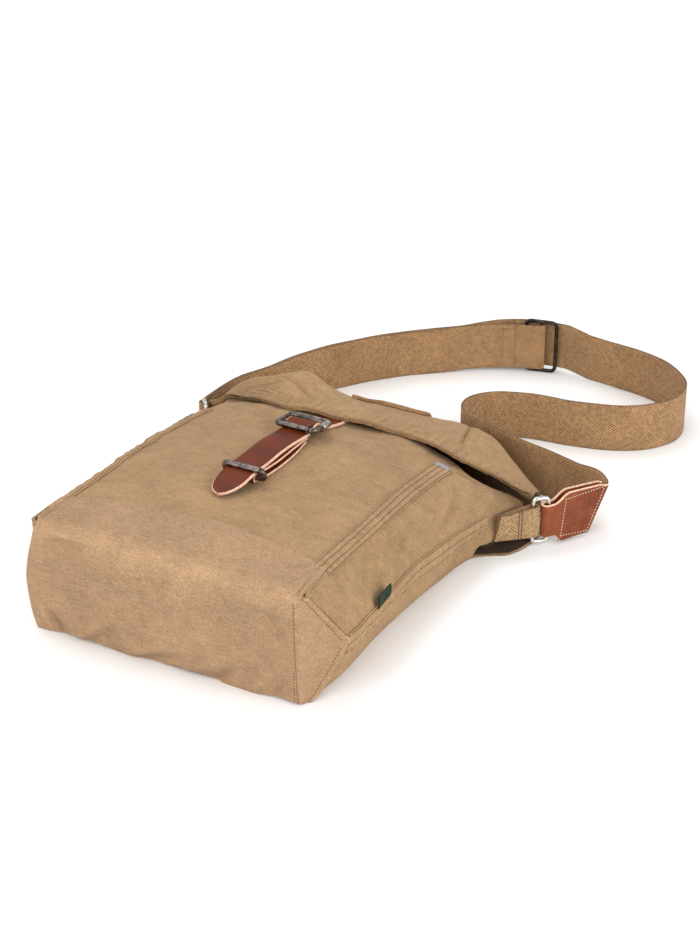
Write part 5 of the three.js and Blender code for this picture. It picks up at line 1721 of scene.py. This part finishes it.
def build_ring_tabs():
    lines = []
    for name, ring, root in (
        ("ring_tab_right", RING_RIGHT, TAB_RIGHT_ROOT),
        ("ring_tab_left", RING_LEFT, TAB_LEFT_ROOT),
    ):
        inner = ring_place(ring)["inner"]
        away = beside_seam(ring["side"], root["before_mouth"], root["out"]) - inner
        length = np.linalg.norm(away)
        places, across, half = loop_round(
            inner,
            away / length,
            length,
            RING_WIRE / 2 + PIECE_GAP + WEBBING_THICK / 2,
            (WEBBING_THICK + PIECE_GAP) / 2,
            (TAB_GATHERED / 2, TAB_WIDTH / 2 - 3),
            np.array([-ring["side"] * root["lean"], 0, 1]),
            1.2,
            bow=-root["bow"],
        )
        tab = strap(
            name + "_webbing",
            places,
            across,
            half,
            WEBBING_THICK,
            [material("tab"), material("selvage")],
            12,
            0.35,
        )
        take(tab, "webbing", name)
        for share in (0.36, 0.44):
            at = inner + away * share
            reach = np.linspace(1.5 - TAB_GATHERED / 2, TAB_GATHERED / 2 - 1.5, 16)[:, None]
            out = np.array([away[1], -away[0], 0]) / length
            toward = out if out[1] < 0 else -out
            lines.append(on_surface(tab, at + reach * UP + toward * 6, 0.1))
    trim(stitches("ring_tab_stitches", lines, "dark_thread", 2.0, 1.8, 0.5, 19))


def leather_away():
    away = ring_place(RING_RIGHT)["outwards"]
    c, s = math.cos(LEATHER_TURN), math.sin(LEATHER_TURN)
    return np.array([away[0] * c - away[1] * s, away[0] * s + away[1] * c, 0])


def build_leather_tab():
    away = leather_away()
    outer = ring_place(RING_RIGHT)["outer"]
    places, across, half = loop_round(
        outer,
        away,
        LEATHER_TAB_LENGTH,
        RING_WIRE / 2 + PIECE_GAP + LEATHER_THICK / 2,
        WEBBING_THICK / 2 + 2 * PIECE_GAP + LEATHER_THICK / 2,
        (LEATHER_TAB_NECK / 2, LEATHER_TAB_WIDTH / 2),
        UP + LEATHER_LEAN * away,
        1.7,
        LEATHER_TAB_PAST,
    )
    # The neck is narrow and the end wide, with an S-shaped edge between.
    share = np.clip(np.linalg.norm((places - outer)[:, :2], axis=1) / LEATHER_TAB_LENGTH, 0, 1)
    half = mix(LEATHER_TAB_NECK / 2, LEATHER_TAB_WIDTH / 2, smooth((share - 0.1) / 0.24))
    half = half * mix(1, 0.93, smooth((share - 0.9) / 0.1))
    looks = [material("leather"), material("edge")]
    tab = strap("leather_tab_leather", places, across, half, LEATHER_THICK, looks, 14, 0.35)
    take(tab, "strap_leather", "leather_tab")
    side = np.array([away[1], -away[0], 0])
    lines = []
    near = outer + side * (WEBBING_THICK / 2 + LEATHER_THICK + 2)

    def at(share, height):
        tilt = UP + LEATHER_LEAN * away * share
        return near + away * LEATHER_TAB_LENGTH * share + tilt * height

    reach = LEATHER_TAB_WIDTH / 2 - 3
    corners = [(0.27, -reach * 0.88), (0.98, -reach), (0.98, reach), (0.27, reach * 0.88)]
    for (s0, h0), (s1, h1) in zip(corners, corners[1:] + corners[:1]):
        steps = np.linspace(0, 1, 24)
        row = np.array([at(mix(s0, s1, t), mix(h0, h1, t)) for t in steps])
        lines.append(on_surface(tab, row, 0.05))
    trim(stitches("leather_stitches", lines, "pale_thread", 2.2, 1.4, 0.36, 21))


def centripetal(points, per_span):
    """A smooth line through points."""
    points = np.asarray(points, float)
    first = 2 * points[0] - points[1]
    last = 2 * points[-1] - points[-2]
    padded = np.concatenate([[first], points, [last]])
    line = []
    for i in range(1, len(padded) - 2):
        p = padded[i - 1 : i + 3]
        gaps = np.sqrt(np.linalg.norm(np.diff(p, axis=0), axis=1))
        t0, t1, t2 = gaps
        m1 = t1 * ((p[1] - p[0]) / t0 - (p[2] - p[0]) / (t0 + t1) + (p[2] - p[1]) / t1)
        m2 = t1 * ((p[2] - p[1]) / t1 - (p[3] - p[1]) / (t1 + t2) + (p[3] - p[2]) / t2)
        s = np.linspace(0, 1, per_span, endpoint=False)[:, None]
        line.append(
            (2 * s**3 - 3 * s**2 + 1) * p[1]
            + (s**3 - 2 * s**2 + s) * m1
            + (3 * s**2 - 2 * s**3) * p[2]
            + (s**3 - s**2) * m2
        )
    return np.concatenate([*line, [points[-1]]])


STRAP_SPAN = 30


def strap_line():
    """The strap's middle line over the floor: its places, lengths, and the slider's place on it."""
    away = leather_away()[:2]
    outer = ring_place(RING_RIGHT)["outer"][:2]
    route = np.stack(
        [STRAP_ROUTE["across"] * MOUTH_HALF, STRAP_ROUTE["along"] * BODY_LENGTH], axis=-1
    )
    ends = [outer + away * length for length in (LEATHER_TAB_LENGTH + 2.5, LEATHER_TAB_LENGTH - 1)]
    ends.append(outer + away * LEATHER_TAB_LENGTH * 0.42)
    line = centripetal([ring_place(RING_LEFT)["outer"][:2], *route, *ends], STRAP_SPAN)
    length = np.concatenate([[0], np.cumsum(np.linalg.norm(np.diff(line, axis=0), axis=1))])
    return line, length, length[(SLIDER_ROW + 1) * STRAP_SPAN]


GATHER_LENGTH = 26
LAYER_APART = (WEBBING_THICK + PIECE_GAP) / 2
ROUND_RING = RING_WIRE / 2 + PIECE_GAP + WEBBING_THICK / 2
ROUND_SLIDER_BAR = SLIDER_BAR / 2 + PIECE_GAP + WEBBING_THICK / 2
BESIDE_SLIDER = SLIDER_WIRE / 2 + 4 * PIECE_GAP + WEBBING_THICK / 2
BEHIND_SLIDER = BESIDE_SLIDER + WEBBING_THICK + PIECE_GAP
SLIDER_LIFT = SLIDER_WIRE + SLIDER_SLACK / 2


def build_shoulder_strap():
    line, lengths, slider_at = strap_line()
    total = lengths[-1]
    away = leather_away()

    def on_line(length):
        return np.array([np.interp(length, lengths, line[:, 0]), np.interp(length, lengths, line[:, 1])])

    def tangent_at(length):
        step = on_line(min(length + 0.5, total)) - on_line(max(length - 0.5, 0))
        return step / np.linalg.norm(step)

    places, across, halves = [], [], []

    def station(length, offset, forward=0.0):
        tangent = tangent_at(length)
        side = np.array([tangent[1], -tangent[0]])
        gathered = min(length / GATHER_LENGTH, 1)
        lifts = [
            (slider_at - 90, 0),
            (slider_at - 24, SLIDER_LIFT),
            (slider_at + 20, SLIDER_LIFT),
            (slider_at + 70, 0),
        ]
        z = mix(RING_HEIGHT, WEBBING_WIDTH / 2, gathered) + read_pairs(lifts, length)
        into_tab = total - LEATHER_TAB_LENGTH * 0.58
        lean = read_pairs([(into_tab - 34, 0), (into_tab - 8, LEATHER_LEAN)], length)
        at = on_line(length) + side * offset + tangent * forward
        places.append([*at, z])
        across.append([away[0] * lean, away[1] * lean, 1])
        halves.append(mix(TAB_WIDTH / 2 + 0.5, WEBBING_WIDTH / 2, gathered))

    front = [
        (0, ROUND_RING),
        (GATHER_LENGTH, LAYER_APART),
        (slider_at - 44, LAYER_APART),
        (slider_at - 22, BESIDE_SLIDER),
        (slider_at - 6, BESIDE_SLIDER),
        (slider_at, ROUND_SLIDER_BAR),
    ]
    behind = [
        (0, ROUND_RING),
        (GATHER_LENGTH, LAYER_APART),
        (slider_at - 60, LAYER_APART),
        (slider_at - 34, BEHIND_SLIDER),
        (slider_at + 20, BEHIND_SLIDER),
        (slider_at + 40, 0),
    ]
    for back in np.linspace(20, 3, 9):
        station(slider_at - back, -read_pairs([(3, ROUND_SLIDER_BAR), (6, BESIDE_SLIDER)], back))
    for turn in np.linspace(-math.pi / 2, math.pi / 2, 12):
        radius = ROUND_SLIDER_BAR
        station(slider_at, radius * math.sin(turn), radius * math.cos(turn))
    for length in np.arange(slider_at - 3, 4, -2.5):
        station(length, read_pairs(front, length))
    for turn in np.linspace(math.pi / 2, 3 * math.pi / 2, 14):
        station(0, ROUND_RING * math.sin(turn), ROUND_RING * math.cos(turn))
    for length in np.arange(4, total, 2.5):
        station(length, -read_pairs(behind, length))
    webbing = strap(
        "shoulder_strap_webbing",
        places,
        np.array(across),
        np.array(halves),
        WEBBING_THICK,
        [material("webbing"), material("selvage")],
        12,
        0.35,
        0.25,
    )
    take(webbing, "webbing", "shoulder_strap")
    strap_stitches(webbing, on_line, tangent_at, slider_at)


def strap_stitches(webbing, on_line, tangent_at, slider_at):
    """The rows that close the webbing's sewn end round the slider's bar."""
    lines = []
    reach = WEBBING_WIDTH / 2 - 4

    def before_slider(back, height):
        tangent = tangent_at(slider_at - back)
        side = np.array([tangent[1], -tangent[0], 0]) * 8
        middle = np.array([*on_line(slider_at - back), WEBBING_WIDTH / 2 + SLIDER_LIFT])
        return middle + side + UP * height

    corners = [(20, -reach), (20, reach), (31, reach), (31, -reach)]
    for (b0, h0), (b1, h1) in zip(corners, corners[1:]):
        steps = np.linspace(0, 1, 20)
        row = np.array([before_slider(mix(b0, b1, t), mix(h0, h1, t)) for t in steps])
        lines.append(on_surface(webbing, row, 0.05))
    stitched = stitches("strap_end_stitches", lines, "dark_thread", 2.2, 1.9, 0.42, 23)
    trim(stitched)


def build_slider():
    line, lengths, slider_at = strap_line()
    at = [np.interp(slider_at, lengths, line[:, i]) for i in (0, 1)]
    ahead = [np.interp(slider_at + 0.5, lengths, line[:, i]) for i in (0, 1)]
    lengthways = unit(np.array([ahead[0] - at[0], ahead[1] - at[1], 0]))
    middle = np.array([*at, SLIDER_LIFT + WEBBING_WIDTH / 2])
    height = WEBBING_WIDTH + SLIDER_SLACK + SLIDER_WIRE
    slider = wire_loop(
        "slider_frame_metal",
        middle,
        UP,
        lengthways,
        height,
        SLIDER_LENGTH,
        4,
        SLIDER_WIRE,
        material("black"),
    )
    take(slider, "black_metal", "slider_frame")
    reach = (WEBBING_WIDTH + SLIDER_SLACK) / 2 - PIECE_GAP
    rod = round_bar(
        "slider_bar_metal", middle - UP * reach, middle + UP * reach, SLIDER_BAR, material("black")
    )
    take(rod, "black_metal", "slider_bar")


# Stage


def build_stage():
    scene = bpy.context.scene
    scene.view_settings.view_transform = "Standard"
    studio = scene.bag_studio
    mesh = bpy.data.meshes.new("floor")
    reach = 6.0
    corners = [(-reach, -reach, 0), (reach, -reach, 0), (reach, reach, 0), (-reach, reach, 0)]
    mesh.from_pydata(corners, [], [(0, 1, 2, 3)])
    mesh.materials.append(paper_material(studio.paper))
    floor = new_object("floor", mesh)
    world = bpy.data.worlds.new("Soft studio")
    world.use_nodes = True
    sky = world.node_tree.nodes["Background"]
    sky.inputs["Color"].default_value = (1, 1, 1, 1)
    sky.inputs["Strength"].default_value = studio.sky
    scene.world = world
    for name, place, size, power in (
        ("front", (-0.4, -1.95, 1.3), 2.0, studio.front_power),
        ("side", (2.1, -0.3, 1.1), 1.6, studio.side_power),
        ("top", (-0.8, 0.6, 1.9), 1.4, studio.top_power),
    ):
        light = bpy.data.lights.new(name, "AREA")
        light.size = size
        light.energy = power
        lamp = bpy.data.objects.new(name, light)
        lamp.location = place
        aim = np.array([0.0, 0.1, 0.0]) - np.array(place)
        lamp.rotation_euler = look_along(aim)
        scene.collection.objects.link(lamp)
    camera_data = bpy.data.cameras.new("camera")
    camera_data.sensor_fit = "VERTICAL"
    camera_data.sensor_height = 36
    camera_data.lens = 88.75
    camera = bpy.data.objects.new("camera", camera_data)
    camera.location = (0.6497, -1.1434, 0.84)
    camera.rotation_euler = look_along((-0.3932, 0.7716, -0.5))
    scene.collection.objects.link(camera)
    scene.camera = camera


def look_along(direction):
    """Turns of an object that looks along a direction, with its top upwards."""
    x, y, z = (float(v) for v in direction)
    return (math.atan2(math.hypot(x, y), -z), 0, math.atan2(-x, y))


# Settings, operators and panel


def shade_property(name, description, default):
    return bpy.props.FloatVectorProperty(
        name=name,
        description=description,
        subtype="COLOR",
        size=4,
        min=0,
        max=1,
        default=colour(default),
    )


class BagClothSettings(bpy.types.PropertyGroup):
    """Colours and weaves of the bag's cloth."""

    canvas: shade_property("Canvas", "Middle shade of the body's washed canvas", "#9F805D")
    # A little lighter than the canvas, though the same fabric: painted light on the base face.
    base: shade_property("Base", "Middle shade of the base panel's canvas", "#A38364")
    # The colour of the painted shade of the bag's shadowed inside.
    inside_shade: shade_property("Lining", "Middle shade of the dark inside", "#3A2A1C")
    label: shade_property("Label", "Middle shade of the side label", "#1E2E19")
    webbing: shade_property("Webbing", "Middle shade of the shoulder strap", "#987653")
    selvage: shade_property("Selvage", "Middle shade of the webbing's edges", "#7E6246")
    tab: shade_property("Tabs", "Middle shade of the ring tabs' webbing", "#9A7C5A")
    canvas_weave: bpy.props.FloatProperty(
        name="Canvas Weave",
        description="Distance from thread to thread in the canvas",
        unit="LENGTH",
        min=0.0003,
        max=0.005,
        precision=5,
        default=0.0008,
    )
    webbing_weave: bpy.props.FloatProperty(
        name="Webbing Weave",
        description="Distance from yarn to yarn along the webbing",
        unit="LENGTH",
        min=0.0005,
        max=0.008,
        precision=5,
        default=0.0013,
    )
    # How much the ridges are paled as wear and the folds darkened with painted shade.
    wear: bpy.props.FloatProperty(
        name="Wear",
        description="How much paler the canvas is on its ridges and darker in its folds",
        subtype="FACTOR",
        min=0,
        max=1,
        default=0.2,
    )


class BagFittingSettings(bpy.types.PropertyGroup):
    """Colours of the bag's leather and metal."""

    leather: shade_property("Leather", "Middle shade of the strap's leather tab", "#7D422A")
    closure: shade_property("Closure Leather", "Middle shade of the closure's straps", "#622811")
    leather_edge: shade_property("Leather Edge", "Middle shade of the leather's cut edge", "#DDB398")
    antique: shade_property("Antique Silver", "Shade of the buckle and the keeper", "#685F59")
    nickel: shade_property("Bright Nickel", "Shade of the rings", "#CCCAC2")
    worn_nickel: shade_property("Worn Nickel", "Shade of the buckle's sleeve", "#ACA8A0")
    black: shade_property("Blackened Metal", "Shade of the slider", "#3C3632")


class BagStudioSettings(bpy.types.PropertyGroup):
    """The paper floor and the lights."""

    paper: shade_property("Paper", "Shade of the floor", "#F8F8F8")
    sky: bpy.props.FloatProperty(
        name="Sky", description="Strength of the even white light", min=0, max=5, default=0.64
    )
    front_power: bpy.props.FloatProperty(
        name="Front Light",
        description="Power of the broad light in front of the bag",
        unit="POWER",
        min=0,
        max=1000,
        default=32,
    )
    side_power: bpy.props.FloatProperty(
        name="Side Light",
        description="Power of the light at the bag's right side",
        unit="POWER",
        min=0,
        max=1000,
        default=34,
    )
    top_power: bpy.props.FloatProperty(
        name="Top Light",
        description="Power of the light above the bag",
        unit="POWER",
        min=0,
        max=1000,
        default=17,
    )


SETTINGS = {
    "bag_cloth": BagClothSettings,
    "bag_fittings": BagFittingSettings,
    "bag_studio": BagStudioSettings,
}


class BAG_OT_base_panel(bpy.types.Operator):
    """Build the swollen base with its boxed corners"""

    bl_idname = "bag.base_panel"
    bl_label = "Base Panel"

    def execute(self, context):
        build_base_panel()
        return {"FINISHED"}


class BAG_OT_body_panels(bpy.types.Operator):
    """Build the canvas front, sides and back"""

    bl_idname = "bag.body_panels"
    bl_label = "Body Panels"

    def execute(self, context):
        build_body_panels()
        return {"FINISHED"}


class BAG_OT_felled_seams(bpy.types.Operator):
    """Build the raised seams and their stitches"""

    bl_idname = "bag.felled_seams"
    bl_label = "Felled Seams"

    def execute(self, context):
        build_seams()
        return {"FINISHED"}


class BAG_OT_folded_top(bpy.types.Operator):
    """Build the top that is folded forward, with its ribbed hem"""

    bl_idname = "bag.folded_top"
    bl_label = "Folded Top"

    def execute(self, context):
        build_folded_top()
        return {"FINISHED"}


class BAG_OT_hang_loop(bpy.types.Operator):
    """Build the webbing loop on the back of the fold"""

    bl_idname = "bag.hang_loop"
    bl_label = "Hang Loop"

    def execute(self, context):
        build_hang_loop()
        return {"FINISHED"}


class BAG_OT_side_label(bpy.types.Operator):
    """Build the plain label in the right side"""

    bl_idname = "bag.side_label"
    bl_label = "Side Label"

    def execute(self, context):
        build_side_label()
        return {"FINISHED"}


class BAG_OT_closure_leather(bpy.types.Operator):
    """Build the closure's strap and the strap that holds its keeper"""

    bl_idname = "bag.closure_leather"
    bl_label = "Closure Leather"

    def execute(self, context):
        build_closure_strap()
        build_closure_holder()
        return {"FINISHED"}


class BAG_OT_closure_metal(bpy.types.Operator):
    """Build the keeper and the buckle"""

    bl_idname = "bag.closure_metal"
    bl_label = "Closure Metal"

    def execute(self, context):
        build_closure_metal()
        return {"FINISHED"}


class BAG_OT_rings(bpy.types.Operator):
    """Build the two rectangle rings"""

    bl_idname = "bag.rings"
    bl_label = "Rings"

    def execute(self, context):
        build_rings()
        return {"FINISHED"}


class BAG_OT_ring_tabs(bpy.types.Operator):
    """Build the webbing tabs that hold the rings"""

    bl_idname = "bag.ring_tabs"
    bl_label = "Ring Tabs"

    def execute(self, context):
        build_ring_tabs()
        return {"FINISHED"}


class BAG_OT_leather_tab(bpy.types.Operator):
    """Build the stitched leather tab at the strap's end"""

    bl_idname = "bag.leather_tab"
    bl_label = "Leather Tab"

    def execute(self, context):
        build_leather_tab()
        return {"FINISHED"}


class BAG_OT_shoulder_strap(bpy.types.Operator):
    """Build the webbing strap with its sewn end"""

    bl_idname = "bag.shoulder_strap"
    bl_label = "Shoulder Strap"

    def execute(self, context):
        build_shoulder_strap()
        return {"FINISHED"}


class BAG_OT_slider(bpy.types.Operator):
    """Build the slider's frame and bar"""

    bl_idname = "bag.slider"
    bl_label = "Slider"

    def execute(self, context):
        build_slider()
        return {"FINISHED"}


class BAG_OT_stage(bpy.types.Operator):
    """Set the paper floor, the soft lights and the camera"""

    bl_idname = "bag.stage"
    bl_label = "Studio"

    def execute(self, context):
        build_stage()
        return {"FINISHED"}


PIECE_OPERATORS = (
    BAG_OT_base_panel,
    BAG_OT_body_panels,
    BAG_OT_felled_seams,
    BAG_OT_folded_top,
    BAG_OT_hang_loop,
    BAG_OT_side_label,
    BAG_OT_closure_leather,
    BAG_OT_closure_metal,
    BAG_OT_rings,
    BAG_OT_ring_tabs,
    BAG_OT_leather_tab,
    BAG_OT_shoulder_strap,
    BAG_OT_slider,
    BAG_OT_stage,
)


class BAG_PT_pieces(bpy.types.Panel):
    """The bag's pieces and settings in the sidebar."""

    bl_label = "Canvas Shoulder Bag"
    bl_idname = "BAG_PT_pieces"
    bl_space_type = "VIEW_3D"
    bl_region_type = "UI"
    bl_category = "Bag"

    def draw(self, context):
        pieces = self.layout.column(align=True)
        for operator in PIECE_OPERATORS:
            pieces.operator(operator.bl_idname)
        for group_name, settings in SETTINGS.items():
            box = self.layout.box()
            for name in settings.__annotations__:
                box.prop(getattr(context.scene, group_name), name)


def register():
    for settings in SETTINGS.values():
        bpy.utils.register_class(settings)
    for name, settings in SETTINGS.items():
        setattr(bpy.types.Scene, name, bpy.props.PointerProperty(type=settings))
    for shown in (*PIECE_OPERATORS, BAG_PT_pieces):
        bpy.utils.register_class(shown)


def unregister():
    for shown in (BAG_PT_pieces, *reversed(PIECE_OPERATORS)):
        bpy.utils.unregister_class(shown)
    for name, settings in SETTINGS.items():
        delattr(bpy.types.Scene, name)
        bpy.utils.unregister_class(settings)


def main():
    register()
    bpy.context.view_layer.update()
    bpy.ops.bag.base_panel()
    bpy.ops.bag.body_panels()
    bpy.ops.bag.felled_seams()
    bpy.ops.bag.folded_top()
    bpy.ops.bag.hang_loop()
    bpy.ops.bag.side_label()
    bpy.ops.bag.closure_leather()
    bpy.ops.bag.closure_metal()
    bpy.ops.bag.rings()
    bpy.ops.bag.ring_tabs()
    bpy.ops.bag.leather_tab()
    bpy.ops.bag.shoulder_strap()
    bpy.ops.bag.slider()
    bpy.ops.bag.stage()


if __name__ == "__main__":
    main()
